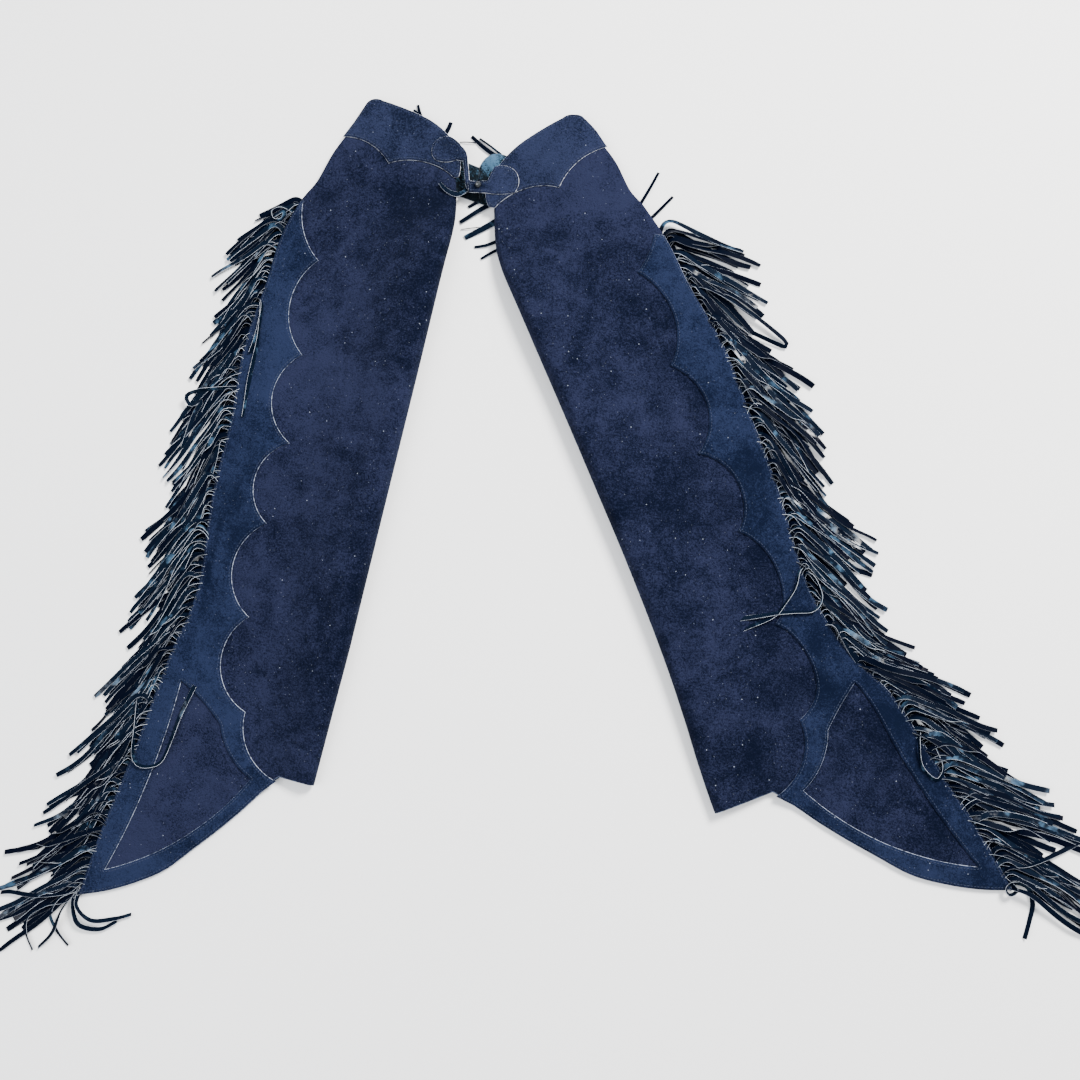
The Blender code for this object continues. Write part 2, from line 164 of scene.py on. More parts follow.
# soft creases of each leg: from across, along to across, along; half width; height
creases = {
    "left": [
        (191, 412, 192, 498, 4, 2.4), (192, 486, 186, 556, 4, 2.0),
        (60, 40, 130, 20, 16, 2.0), (40, 90, 120, 130, 20, 1.8),
        (95, 180, 80, 420, 22, 2.4), (120, 480, 95, 640, 20, 1.8),
        (165, 240, 185, 330, 14, 1.6), (30, 250, 60, 330, 16, -2.0),
        (20, 560, 55, 470, 14, -2.2), (150, 700, 190, 840, 16, 1.6),
        (60, 640, 75, 700, 10, 1.4), (110, -20, 150, 30, 14, 1.8),
    ],
    "right": [
        (60, 20, 160, 60, 18, 2.4), (40, 80, 110, 110, 16, 2.0),
        (100, 150, 90, 380, 24, 2.6), (75, 420, 95, 600, 20, 2.0),
        (170, 120, 190, 260, 14, 1.6), (25, 300, 60, 400, 16, -2.2),
        (20, 520, 60, 600, 14, -2.0), (150, 560, 190, 700, 16, 1.8),
        (120, 760, 200, 860, 18, 1.6), (60, 660, 70, 705, 10, 1.2),
        (190, 300, 196, 380, 6, 1.8),
    ],
}
flatLevel = 2 * pattern["legLeather"] + pattern["layerGap"]

# where the nap is brushed darker or lighter, and one painted shadow at the right waist: across, along, reach,
# tone
napAndShadePatches = {
    "left": [
        (50, 0, 55, -0.42), (30, 90, 60, -0.25), (15, 420, 60, -0.16), (60, 330, 40, -0.12),
        (140, 170, 60, 0.26), (190, 230, 70, 0.24), (60, -70, 40, 0.2), (140, 410, 34, -0.14),
        (30, 560, 70, -0.16), (180, 650, 60, 0.24), (210, 850, 80, 0.42), (110, 560, 50, 0.12),
        (60, 480, 40, -0.08), (190, 430, 50, -0.10), (80, 700, 40, 0.05),
        (25, -5, 40, -0.28), (75, -45, 50, -0.16), (140, -15, 35, -0.14), (95, 560, 60, 0.16),
        (70, 430, 45, 0.16), (35, 490, 45, 0.08), (140, 480, 35, -0.22), (200, 510, 40, -0.18),
        (110, 250, 45, 0.16), (45, 240, 30, -0.12), (45, 310, 35, -0.12), (185, 670, 45, 0.12),
        (60, 705, 50, -0.12), (205, 835, 50, 0.26), (70, 350, 35, -0.12),
    ],
    "right": [
        (150, -70, 60, 0.42), (90, 0, 80, 0.22), (190, 20, 50, 0.30), (135, 100, 50, -0.20),
        (205, 120, 45, 0.22), (60, 120, 50, 0.05), (170, 230, 30, -0.08), (190, 300, 50, 0.05),
        (40, 345, 45, -0.16), (150, 400, 45, -0.15), (155, 480, 45, -0.32), (100, 570, 50, -0.10),
        (170, 620, 55, -0.28), (225, 700, 60, -0.40), (190, 720, 40, -0.15), (40, 660, 60, -0.18),
        (160, 820, 50, 0.10), (40, 410, 30, 0.10), (220, 880, 50, -0.12),
        (60, 405, 50, -0.26), (105, 395, 45, -0.16), (155, 375, 45, -0.24), (40, 160, 40, -0.18),
        (40, 225, 35, -0.22), (110, 220, 40, 0.16), (165, 505, 50, -0.26), (200, 545, 40, -0.28),
        (35, 560, 45, -0.18), (85, 480, 45, -0.14), (170, 590, 35, -0.12), (25, 345, 30, -0.22),
        (40, 295, 30, 0.20), (75, -20, 35, -0.22), (178, -15, 25, 0.30), (100, 700, 60, -0.12),
        (25, 700, 45, -0.16), (150, 785, 50, -0.20), (190, 800, 40, -0.12), (232, 820, 35, -0.36),
        # the last entry, at 3, -94, is painted shadow: the dark slot at the waist by the tab
        (158, 60, 28, -0.26), (175, 100, 25, -0.14), (232, 690, 35, -0.20), (3, -94, 13, -0.75),
    ],
}


def creaseHeight(side, across, along, widest=99.0):
    height = np.zeros(np.broadcast(across, along).shape)
    for a0, l0, a1, l1, halfWidth, lift in creases[side]:
        if halfWidth > widest:
            continue
        length = math.hypot(a1 - a0, l1 - l0)
        forward = ((across - a0) * (a1 - a0) + (along - l0) * (l1 - l0)) / length
        sideways = ((across - a0) * (l1 - l0) - (along - l0) * (a1 - a0)) / length
        drift = sideways + 0.12 * halfWidth * np.sin(forward * 0.05 + a0)
        taper = ease(forward / (0.35 * length) + 0.3) * ease((length - forward) / (0.35 * length) + 0.3)
        height += lift * np.exp(-(drift / halfWidth) ** 2) * taper
    return height


def napToneAndShade(side, across, along):
    tone = np.zeros(np.broadcast(across, along).shape)
    for a, l, reach, strength in napAndShadePatches[side]:
        tone += strength * np.exp(-((across - a) ** 2 + (along - l) ** 2) / reach ** 2)
    # painted shade along one flank of the sharp creases
    return tone - 0.22 * creaseHeight(side, across - 2.5, along, 6.0)


def frontHeight(side, across, along):
    # top of a leg's front layer, creases and slow waves included
    fold, reach = foldHeight(along), foldReach(along)
    radius = fold / 2
    swell = 1 - ease((across - radius) / (reach - radius))
    base = backHeight(along) + flatLevel + (fold - flatLevel) * swell
    phase = 0.0 if side == "left" else 2.1
    wave = 0.9 + 0.5 * np.sin(along / 61 + phase) * np.sin(across / 47 + 1.3 * phase)
    wave += 0.4 * np.sin(along / 23 + across / 31 + phase)
    edgeCalm = ease((outerSeam(along) - across) / 40) * ease((across - innerEdge(along) - radius) / 30)
    low = ease((bottomAlong(across) - along) / 30)
    return base + np.maximum((wave + creaseHeight(side, across, along)) * edgeCalm * low, -4.0 * swell)


trimLift = 0.5             # above the leg; the tabs clear the yokes by as much


def trimHeight(side, across, along):
    # underside of what lies on the leg
    return frontHeight(side, across, along) + trimLift


def tabHeight(side, across, along):
    # underside of what lies on a yoke; the left tab dips as it crosses the gap
    dip = 2.2 * ease((5.0 - across) / 7.0) if side == "left" else 0.0
    return frontHeight(side, across, along) + 2 * trimLift + pattern["trimLeather"] - dip


def arcPoints(start, end, bulge, step):
    # points after start up to end, on an arc that leaves the chord by bulge, at most a half circle
    start, end = np.array(start, float), np.array(end, float)
    chord = end - start
    length = np.linalg.norm(chord)
    count = max(2, int(length / step))
    if abs(bulge) < 0.01:
        return [start + chord * k / count for k in range(1, count + 1)]
    forward = chord / length
    sideways = np.array([forward[1], -forward[0]])
    radius = (length * length / 4 + bulge * bulge) / (2 * bulge)
    centre = (start + end) / 2 - sideways * (radius - bulge)
    sweep = math.asin(max(-1.0, min(1.0, length / 2 / radius)))
    count = max(2, int(abs(2 * sweep * radius) / step))
    angles = [sweep * (2 * k / count - 1) for k in range(1, count)]
    points = [centre + forward * math.sin(a) * radius + sideways * math.cos(a) * radius for a in angles]
    return points + [end]


def outline(corners, step):
    points = []
    for k, (across, along, bulge) in enumerate(corners):
        after = corners[(k + 1) % len(corners)]
        points += arcPoints((across, along), after[:2], bulge, step)
    return points


def insidePolygon(points, polygon):
    x, y = points[:, 0:1], points[:, 1:2]
    a = np.array(polygon)
    b = np.roll(a, -1, axis=0)
    crosses = (a[:, 1] > y) != (b[:, 1] > y)
    slope = np.where(np.abs(b[:, 1] - a[:, 1]) < 1e-12, 1e-12, b[:, 1] - a[:, 1])
    at = a[:, 0] + (y - a[:, 1]) / slope * (b[:, 0] - a[:, 0])
    return (np.sum(crosses & (x < at), axis=1) % 2) == 1


def edgeDistance(points, polygon):
    a = np.array(polygon)
    b = np.roll(a, -1, axis=0)
    nearest = np.full(len(points), 1e9)
    for p, q in zip(a, b):
        d = q - p
        t = np.clip(((points - p) @ d) / max(d @ d, 1e-9), 0, 1)
        nearest = np.minimum(nearest, np.linalg.norm(points - (p + t[:, None] * d), axis=1))
    return nearest


def insetLoop(loop, distance):
    # the loop moved towards its own inside
    a = np.array(loop)
    before, after = np.roll(a, 1, axis=0), np.roll(a, -1, axis=0)
    tangent = after - before
    tangent /= np.maximum(np.linalg.norm(tangent, axis=1, keepdims=True), 1e-9)
    area = np.sum(a[:, 0] * after[:, 1] - after[:, 0] * a[:, 1])
    normal = np.stack([-tangent[:, 1], tangent[:, 0]], axis=1) * np.sign(area)
    return a + normal * distance


def cutPanel(border, hole, spacing, bevelWidth):
    # triangles of a flat-cut panel with a narrow ring along its cut edges
    loops = [np.array(border)] + ([np.array(hole)] if hole is not None else [])
    rings = [insetLoop(loops[0], bevelWidth)]
    if hole is not None:
        rings.append(insetLoop(loops[1], -bevelWidth))
    low, high = loops[0].min(axis=0), loops[0].max(axis=0)
    xs, ys = np.meshgrid(np.arange(low[0], high[0], spacing), np.arange(low[1], high[1], spacing * 0.866))
    xs[1::2] += spacing / 2
    grid = np.stack([xs.ravel(), ys.ravel()], axis=1)
    keep = insidePolygon(grid, loops[0]) & (edgeDistance(grid, rings[0]) > spacing * 0.5)
    keep &= edgeDistance(grid, loops[0]) > bevelWidth + spacing * 0.5
    if hole is not None:
        keep &= ~insidePolygon(grid, loops[1]) & (edgeDistance(grid, loops[1]) > bevelWidth + spacing * 0.5)
    grid = grid[keep]
    points, edges = [], []
    for loop in loops + rings:
        first = len(points)
        points += [Vector(p) for p in loop]
        edges += [(first + k, first + (k + 1) % len(loop)) for k in range(len(loop))]
    borderCount = sum(len(loop) for loop in loops)
    ringCount = len(points)
    points += [Vector(p) for p in grid]
    filled = delaunay_2d_cdt(points, edges, [], 0, 1e-5)
    flat = np.array([tuple(p) for p in filled[0]])
    faces = np.array([face for face in filled[2] if len(face) == 3])
    centres = flat[faces].mean(axis=1)
    keep = insidePolygon(centres, loops[0])
    if hole is not None:
        keep &= ~insidePolygon(centres, loops[1])
    kind = np.zeros(len(flat))
    for k, origins in enumerate(filled[3]):
        nearest = min(origins) if origins else ringCount
        kind[k] = 2 if nearest < borderCount else 1 if nearest < ringCount else 0
    return flat, faces[keep], kind


def addObject(name, data):
    thing = bpy.data.objects.new(name, data)
    bpy.context.scene.collection.objects.link(thing)
    return thing


def addAttribute(mesh, name, values):
    vector = np.ndim(values) > 1
    layer = mesh.attributes.new(name, "FLOAT_VECTOR" if vector else "FLOAT", "POINT")
    layer.data.foreach_set("vector" if vector else "value", np.asarray(values, np.float32).ravel())


def makeMesh(name, points, faces, material, attributes=None):
    mesh = bpy.data.meshes.new(name)
    mesh.from_pydata([tuple(p) for p in points], [], [tuple(int(k) for k in f) for f in faces])
    for key, values in (attributes or {}).items():
        addAttribute(mesh, key, values)
    mesh.materials.append(material)
    mesh.shade_smooth()
    return addObject(name, mesh)


def solidPanel(name, faces, kind, low, high, material, tone, facing=1.0):
    # a panel with a top, an underside and a rim; cut edges roll off and show raw leather, its paleness scaled
    # by facing, which is painted edge light
    count = len(kind)
    top = high.copy()
    top[kind == 2, 2] -= 0.75 * (high - low)[kind == 2, 2]
    # facing scales the pale raw-edge colour: painted edge light on the trims
    raw = np.where(kind == 2, 1.0, np.where(kind == 1, 0.12, 0.0)) * facing
    used = np.unique(faces)
    number = np.full(count, -1)
    number[used] = np.arange(len(used))
    faces = number[faces]
    top, bottom, raw, tone = top[used], low[used], raw[used], tone[used]
    count = len(used)
    a, b, c = top[faces[:, 0]], top[faces[:, 1]], top[faces[:, 2]]
    if np.sum(np.cross(b - a, c - a)[:, 2]) < 0:
        faces = faces[:, ::-1]
    sides = {}
    for face in faces.tolist():
        for p, q in zip(face, face[1:] + face[:1]):
            sides[(p, q)] = True
    rim = [(q, p, p + count, q + count) for p, q in sides if (q, p) not in sides]
    allFaces = [tuple(f) for f in faces] + [tuple(f[::-1] + count) for f in faces] + rim
    return makeMesh(name, np.vstack([top, bottom]), allFaces, material, {
        "rawEdgeAndLight": np.concatenate([raw, raw]), "napToneAndShade": np.concatenate([tone, tone])})


# materials

def addNode(tree, kind, values=None, **settings):
    # a node with its settings, and with each input linked to a socket or set to a value
    node = tree.nodes.new(kind)
    for key, value in settings.items():
        setattr(node, key, value)
    for key, value in (values or {}).items():
        socket = node.inputs[key]
        if isinstance(value, bpy.types.NodeSocket):
            tree.links.new(value, socket)
        elif socket.type == "RGBA":
            socket.default_value = (*value[:3], 1.0)
        else:
            socket.default_value = value
    return node


def nodeTree(name):
    material = bpy.data.materials.new(name)
    material.use_nodes = True
    tree = material.node_tree
    return material, tree, tree.nodes["Principled BSDF"]


def setShader(tree, shader, values):
    for key, value in values.items():
        if isinstance(value, bpy.types.NodeSocket):
            tree.links.new(value, shader.inputs[key])
        else:
            shader.inputs[key].default_value = value


def mathNode(tree, operation, first, second=None, clamp=False):
    values = {0: first} if second is None else {0: first, 1: second}
    return addNode(tree, "ShaderNodeMath", values, operation=operation, use_clamp=clamp).outputs[0]


def times(tree, first, second):
    return mathNode(tree, "MULTIPLY", first, second)


def plus(tree, first, second):
    return mathNode(tree, "ADD", first, second)


def mixColour(tree, factor, first, second):
    return addNode(tree, "ShaderNodeMix", {0: factor, 6: first, 7: second}, data_type="RGBA").outputs[2]


def noiseNode(tree, vector, scale, detail, roughness=0.55, distortion=0.0):
    return addNode(tree, "ShaderNodeTexNoise", {
        "Vector": vector, "Scale": scale, "Detail": detail, "Roughness": roughness,
        "Distortion": distortion}).outputs["Fac"]


def rangeNode(tree, value, low, high, toLow=0.0, toHigh=1.0):
    return addNode(tree, "ShaderNodeMapRange", {
        "Value": value, "From Min": low, "From Max": high, "To Min": toLow, "To Max": toHigh},
        interpolation_type="SMOOTHSTEP").outputs["Result"]


def bumpNode(tree, height, strength, distance):
    return addNode(tree, "ShaderNodeBump", {
        "Strength": strength, "Distance": distance, "Height": height}).outputs["Normal"]


def objectPoint(tree):
    return tree.nodes.new("ShaderNodeTexCoord").outputs["Object"]


def readAttribute(tree, name):
    return addNode(tree, "ShaderNodeAttribute", attribute_name=name).outputs


def emptyGroup(name, kind, inputs, outputs):
    tree = bpy.data.node_groups.new(name, kind)
    for socketName, socketKind, value in inputs:
        socket = tree.interface.new_socket(socketName, in_out="INPUT", socket_type="NodeSocket" + socketKind)
        if value is not None:
            socket.default_value = value
    for socketName, socketKind in outputs:
        tree.interface.new_socket(socketName, in_out="OUTPUT", socket_type="NodeSocket" + socketKind)
    return tree, tree.nodes.new("NodeGroupInput").outputs, tree.nodes.new("NodeGroupOutput").inputs


def voronoiFleck(tree, where, scale, size):
    # small round flecks, and a number for each
    cells = addNode(tree, "ShaderNodeTexVoronoi", {"Vector": where, "Scale": scale})
    colour = addNode(tree, "ShaderNodeSeparateColor", {0: cells.outputs["Color"]})
    return mathNode(tree, "LESS_THAN", cells.outputs["Distance"], size), colour.outputs


def makeSuedeNap():
    # brushed nap: patches lying this way and that, short strokes, fine grain and lint
    tree, given, out = emptyGroup("suede nap", "ShaderNodeTree", [
        ("Dark", "Color", None), ("Light", "Color", None), ("Patch scale", "Float", 9.0),
        ("Patch strength", "Float", 0.6), ("Grain strength", "Float", 0.5), ("Lint", "Float", 1.0),
    ], [("Color", "Color"), ("Roughness", "Float"), ("Height", "Float")])
    where = objectPoint(tree)
    broad = rangeNode(tree, noiseNode(tree, where, given["Patch scale"], 3.0, 0.6, 0.6), 0.3, 0.7)
    cloud = rangeNode(tree, noiseNode(tree, where, 27.0, 6.0, 0.62, 0.7), 0.3, 0.7, -0.30, 0.30)
    blotch = rangeNode(tree, noiseNode(tree, where, 46.0, 4.0, 0.65, 0.4), 0.3, 0.72)
    mottle = rangeNode(tree, noiseNode(tree, where, 380.0, 3.0, 0.7), 0.3, 0.7)
    grain = rangeNode(tree, noiseNode(tree, where, 950.0, 2.0, 0.6), 0.3, 0.7)
    patches = plus(tree, times(tree, broad, given["Patch strength"]), times(tree, blotch, 0.26))
    # the tone attribute read here adds nap patches and painted shade: crease flanks, the rolled fold and the
    # waist slot
    patches = plus(tree, plus(tree, patches, cloud), readAttribute(tree, "napToneAndShade")["Fac"])
    fine = plus(tree, times(tree, mottle, 0.5), times(tree, grain, 0.6))
    fine = times(tree, mathNode(tree, "SUBTRACT", fine, 0.45), given["Grain strength"])
    colour = mixColour(tree, mathNode(tree, "ADD", patches, fine, True), given["Dark"], given["Light"])
    # lint: sparse pale flecks and finer dust
    fleck, chance = voronoiFleck(tree, where, 95.0, 0.055)
    fleck = times(tree, times(tree, fleck, mathNode(tree, "GREATER_THAN", chance[0], 0.62)), 0.5)
    speck, chance = voronoiFleck(tree, where, 230.0, 0.10)
    speck = times(tree, speck, rangeNode(tree, chance[1], 0.6, 1.0, 0.0, 0.22))
    fleck = times(tree, plus(tree, fleck, speck), given["Lint"])
    relief = plus(tree, times(tree, grain, 0.35), times(tree, mottle, 0.6))
    tree.links.new(mixColour(tree, fleck, colour, (0.45, 0.5, 0.6)), out["Color"])
    tree.links.new(plus(tree, times(tree, mottle, 0.08), 0.88), out["Roughness"])
    tree.links.new(plus(tree, relief, times(tree, blotch, 1.6)), out["Height"])
    return tree


def makeRawEdge():
    # pale cut edge of the leather, broken up by handling; on the trims its amount also carries painted edge
    # light
    tree, given, out = emptyGroup("raw edge", "ShaderNodeTree", [
        ("Amount", "Float", 1.0), ("Colour in", "Color", None), ("Edge colour", "Color", None),
    ], [("Color", "Color")])
    broken = rangeNode(tree, noiseNode(tree, objectPoint(tree), 190.0, 3.0, 0.7), 0.36, 0.6, 0.1, 1.0)
    sharp = rangeNode(tree, readAttribute(tree, "rawEdgeAndLight")["Fac"], 0.45, 0.8)
    mask = mathNode(tree, "MULTIPLY", times(tree, sharp, broken), given["Amount"], True)
    tree.links.new(mixColour(tree, mask, given["Colour in"], given["Edge colour"]), out["Color"])
    return tree


suedeNap = makeSuedeNap()
rawEdgeAndLight = makeRawEdge()


def makeSuede(name, look):
    material, tree, shader = nodeTree(name)
    nap = addNode(tree, "ShaderNodeGroup", node_tree=suedeNap)
    edge = addNode(tree, "ShaderNodeGroup", node_tree=rawEdgeAndLight)
    for socket, key in (("Patch scale", "patchScale"), ("Patch strength", "patches"),
                        ("Grain strength", "grain"), ("Lint", "lint")):
        nap.inputs[socket].default_value = look[key]
    nap.inputs["Dark"].default_value = (*look["dark"], 1.0)
    nap.inputs["Light"].default_value = (*look["light"], 1.0)
    edge.inputs["Amount"].default_value = look["edge"]
    edge.inputs["Edge colour"].default_value = (*look["edgeColour"], 1.0)
    tree.links.new(nap.outputs["Color"], edge.inputs["Colour in"])
    setShader(tree, shader, {
        "Base Color": edge.outputs["Color"], "Roughness": nap.outputs["Roughness"],
        "Normal": bumpNode(tree, nap.outputs["Height"], look["bump"], 0.0012),
        "Sheen Weight": look["sheen"], "Sheen Roughness": 0.45, "Sheen Tint": (*look["sheenTint"], 1.0),
        "Specular IOR Level": 0.04})
    return material


suedeLooks = {
    "legSuede": {"dark": (0.0007, 0.0019, 0.0080), "light": (0.0118, 0.0148, 0.0365), "patchScale": 7.0,
                 "patches": 0.50, "grain": 1.6, "lint": 1.0, "edge": 0.3, "bump": 0.6,
                 "edgeColour": (0.30, 0.38, 0.55), "sheen": 0.03, "sheenTint": (0.55, 0.68, 1.0)},
    "trimSuede": {"dark": (0.0014, 0.0034, 0.0122), "light": (0.0102, 0.0155, 0.0400), "patchScale": 9.0,
                  "patches": 0.50, "grain": 1.5, "lint": 0.7, "edge": 1.0, "bump": 0.45,
                  "edgeColour": (0.52, 0.58, 0.72), "sheen": 0.03, "sheenTint": (0.5, 0.7, 1.0)},
    "yokeSuede": {"dark": (0.0016, 0.0034, 0.0110), "light": (0.0130, 0.0175, 0.0420), "patchScale": 10.0,
                  "patches": 0.55, "grain": 1.8, "lint": 0.8, "edge": 1.0, "bump": 0.55,
                  "edgeColour": (0.86, 0.90, 1.0), "sheen": 0.03, "sheenTint": (0.55, 0.68, 1.0)},
    "backSuede": {"dark": (0.0020, 0.0042, 0.0066), "light": (0.045, 0.100, 0.165), "patchScale": 14.0,
                  "patches": 0.5, "grain": 2.0, "lint": 0.2, "edge": 0.12, "bump": 0.8,
                  "edgeColour": (0.55, 0.62, 0.75), "sheen": 0.1, "sheenTint": (0.7, 0.8, 1.0)},
}
materials = {name: makeSuede(name, look) for name, look in suedeLooks.items()}

strandLook = {
    # the third colour here is painted glint: highlights painted onto some strands
    "dull": (0.0006, 0.0016, 0.0056), "face": (0.0017, 0.0044, 0.0108), "paintedGlint": (0.034, 0.072, 0.120),
    "edge": (0.62, 0.67, 0.76), "reverse": (0.0007, 0.0014, 0.0052), "gloss": 0.5, "polish": 0.5,
}


def makeStrandLeather(look):
    # smooth face on one side, dark suede on the other, pale cut sides, and pale blue patches of painted glint
    # on some strands
    material, tree, shader = nodeTree("strandLeather")
    where = objectPoint(tree)
    tint = readAttribute(tree, "tint")
    # each strand reads the noise somewhere else, so none shares its patches
    shifted = addNode(tree, "ShaderNodeVectorMath", {0: where, 1: tint["Vector"]}).outputs[0]
    cloud = noiseNode(tree, shifted, 42.0, 3.0, 0.6)
    face = mixColour(tree, rangeNode(tree, tint["Fac"], 0.15, 0.85), look["dull"], look["face"])
    # painted glint: pale blue patches on some strands stand in for highlights on the bends
    paintedGlint = times(tree, rangeNode(tree, cloud, 0.55, 0.70), rangeNode(tree, tint["Fac"], 0.35, 0.8))
    face = mixColour(tree, paintedGlint, face, look["paintedGlint"])
    faceSide = rangeNode(tree, readAttribute(tree, "faceSide")["Fac"], 0.35, 0.65)
    colour = mixColour(tree, faceSide, look["reverse"], face)
    broken = rangeNode(tree, noiseNode(tree, where, 120.0, 2.0), 0.3, 0.55, 0.45, 1.0)
    cut = times(tree, rangeNode(tree, readAttribute(tree, "cutSide")["Fac"], 0.45, 0.8), broken)
    cut = times(tree, cut, rangeNode(tree, tint["Fac"], 0.0, 0.7, 0.15, 1.0))
    rough = plus(tree, times(tree, cloud, 0.25), look["gloss"] - 0.1)
    # a few strands keep a polished finish and glint
    polish = rangeNode(tree, tint["Fac"], 0.82, 0.97, 0.0, look["polish"])
    setShader(tree, shader, {
        "Base Color": mixColour(tree, cut, colour, look["edge"]),
        "Roughness": plus(tree, rough, times(tree, cut, 0.4)), "Specular IOR Level": 0.01,
        "Coat Weight": times(tree, polish, rangeNode(tree, cloud, 0.5, 0.6)), "Coat Roughness": 0.22,
        "Normal": bumpNode(tree, noiseNode(tree, where, 420.0, 3.0, 0.6), 0.35, 0.0006)})
    return material


def makePlain(name, colour, roughness, metallic, grainScale):
    material, tree, shader = nodeTree(name)
    cloud = noiseNode(tree, objectPoint(tree), grainScale, 4.0, 0.6)
    low = tuple(c * 0.75 for c in colour)
    setShader(tree, shader, {
        "Base Color": mixColour(tree, rangeNode(tree, cloud, 0.3, 0.7), low, colour),
        "Roughness": rangeNode(tree, cloud, 0.3, 0.7, roughness, roughness + 0.15),
        "Metallic": metallic})
    return material


materials["strandLeather"] = makeStrandLeather(strandLook)
materials["thread"] = makePlain("thread", (0.014, 0.024, 0.055), 0.7, 0.0, 900.0)
materials["snapMetal"] = makePlain("snapMetal", (0.07, 0.075, 0.08), 0.34, 1.0, 300.0)
print("materials ready")


# geometry nodes trees for strands and stitches

def geometryTree(name, inputs):
    tree, given, out = emptyGroup(name, "GeometryNodeTree", [("Geometry", "Geometry", None)] + inputs,
                                  [("Geometry", "Geometry")])
    guide = addNode(tree, "GeometryNodeMeshToCurve", {"Mesh": given["Geometry"]}).outputs[0]
    return tree, given, guide, out[0]


def namedAttribute(tree, name, kind="FLOAT"):
    node = addNode(tree, "GeometryNodeInputNamedAttribute", {"Name": name}, data_type=kind)
    return node.outputs["Attribute"]


def storeAttribute(tree, geometry, name, value):
    return addNode(tree, "GeometryNodeStoreNamedAttribute", {
        "Geometry": geometry, "Name": name, "Value": value}, data_type="FLOAT").outputs["Geometry"]


def finishTree(tree, geometry, material, out):
    realize = addNode(tree, "GeometryNodeRealizeInstances", {0: geometry})
    paint = addNode(tree, "GeometryNodeSetMaterial", {"Geometry": realize.outputs[0], "Material": material})
    tree.links.new(paint.outputs[0], out)
    return tree


def makeStrandTree():
    # flat leather strands swept along guides that carry their width and the way they face
    tree, given, guide, out = geometryTree("cut strands", [
        ("Thickness share", "Float", 0.18), ("Leather", "Material", None)])
    faceUp = namedAttribute(tree, "faceUp", "FLOAT_VECTOR")
    facing = addNode(tree, "GeometryNodeSetCurveNormal", {"Curve": guide, "Normal": faceUp}, mode="FREE")
    circle = addNode(tree, "GeometryNodeCurvePrimitiveCircle", {"Resolution": 6, "Radius": 1.0})
    position = tree.nodes.new("GeometryNodeInputPosition").outputs[0]
    x, y = addNode(tree, "ShaderNodeSeparateXYZ", {0: position}).outputs[:2]
    # the circle's two side points become the cut sides, the other four the faces
    acrossPart = mathNode(tree, "ABSOLUTE", x)
    reach = times(tree, plus(tree, times(tree, acrossPart, 0.2), 0.8), mathNode(tree, "SIGN", x))
    lift = mathNode(tree, "SIGN", mathNode(tree, "ROUND", times(tree, y, 2.0)))
    corner = addNode(tree, "ShaderNodeCombineXYZ", {
        "X": times(tree, lift, given["Thickness share"]), "Y": reach})
    cutSide = mathNode(tree, "GREATER_THAN", acrossPart, 0.9)
    section = storeAttribute(tree, circle.outputs[0], "cutSide", cutSide)
    section = storeAttribute(tree, section, "faceSide", mathNode(tree, "GREATER_THAN", y, -0.1))
    shape = addNode(tree, "GeometryNodeSetPosition", {"Geometry": section, "Position": corner.outputs[0]})
    sweep = addNode(tree, "GeometryNodeCurveToMesh", {
        "Curve": facing.outputs[0], "Profile Curve": shape.outputs[0],
        "Scale": namedAttribute(tree, "halfWidth"), "Fill Caps": True})
    return finishTree(tree, sweep.outputs[0], given["Leather"], out)


def makeStitchTree():
    # short rounded stitches along a seam line, each following the line
    tree, given, guide, out = geometryTree("seam stitches", [
        ("Pitch", "Float", 0.0036), ("Stitch", "Float", 0.0026), ("Thread", "Float", 0.0004),
        ("Seed", "Int", 3), ("Thread finish", "Material", None)])
    spaced = addNode(tree, "GeometryNodeResampleCurve", {
        "Curve": guide, "Length": given["Pitch"]}, mode="LENGTH")
    ball = addNode(tree, "GeometryNodeMeshUVSphere", {"Segments": 6, "Rings": 4, "Radius": 0.5})
    wide = times(tree, given["Thread"], 1.6)
    size = addNode(tree, "ShaderNodeCombineXYZ", {"X": wide, "Y": wide, "Z": given["Stitch"]})
    stitch = addNode(tree, "GeometryNodeTransform", {"Geometry": ball.outputs[0], "Scale": size.outputs[0]})
    tangent = tree.nodes.new("GeometryNodeInputTangent").outputs[0]
    align = addNode(tree, "FunctionNodeAlignRotationToVector", {"Vector": tangent}, axis="Z")
    uneven = addNode(tree, "FunctionNodeRandomValue", {
        2: 0.85, 3: 1.1, "Seed": given["Seed"]}, data_type="FLOAT")
    put = addNode(tree, "GeometryNodeInstanceOnPoints", {
        "Points": spaced.outputs[0], "Instance": stitch.outputs[0], "Rotation": align.outputs[0],
        "Scale": uneven.outputs[1]})
    return finishTree(tree, put.outputs[0], given["Thread finish"], out)


strandTree = makeStrandTree()
stitchTree = makeStitchTree()


def runTree(name, guides, tree, values):
    # guides become a plain mesh: the tree is evaluated once and let go
    sockets = {item.name: item.identifier for item in tree.interface.items_tree if item.in_out == "INPUT"}
    modifier = guides.modifiers.new("tree", "NODES")
    modifier.node_group = tree
    for key, value in values.items():
        modifier[sockets[key]] = value
    graph = bpy.context.evaluated_depsgraph_get()
    mesh = bpy.data.meshes.new_from_object(guides.evaluated_get(graph))
    guides.modifiers.remove(modifier)
    bpy.data.objects.remove(guides)
    mesh.name = name
    return addObject(name, mesh)


def guideObject(name, lines, attributes=None):
    points, edges = [], []
    for line in lines:
        first = len(points)
        points += [tuple(p) for p in line]
        edges += [(first + k, first + k + 1) for k in range(len(line) - 1)]
    mesh = bpy.data.meshes.new(name)
    mesh.from_pydata(points, edges, [])
    for key, rows in (attributes or {}).items():
        addAttribute(mesh, key, np.concatenate(rows))
    return addObject(name, mesh)


# the wrapped legs

legGrid = {"waistAtFold": -62.0, "waistAtHip": -100.0, "rows": 132, "flareRows": 60,
           "frontColumns": 56, "foldColumns": 14, "backColumns": 26}


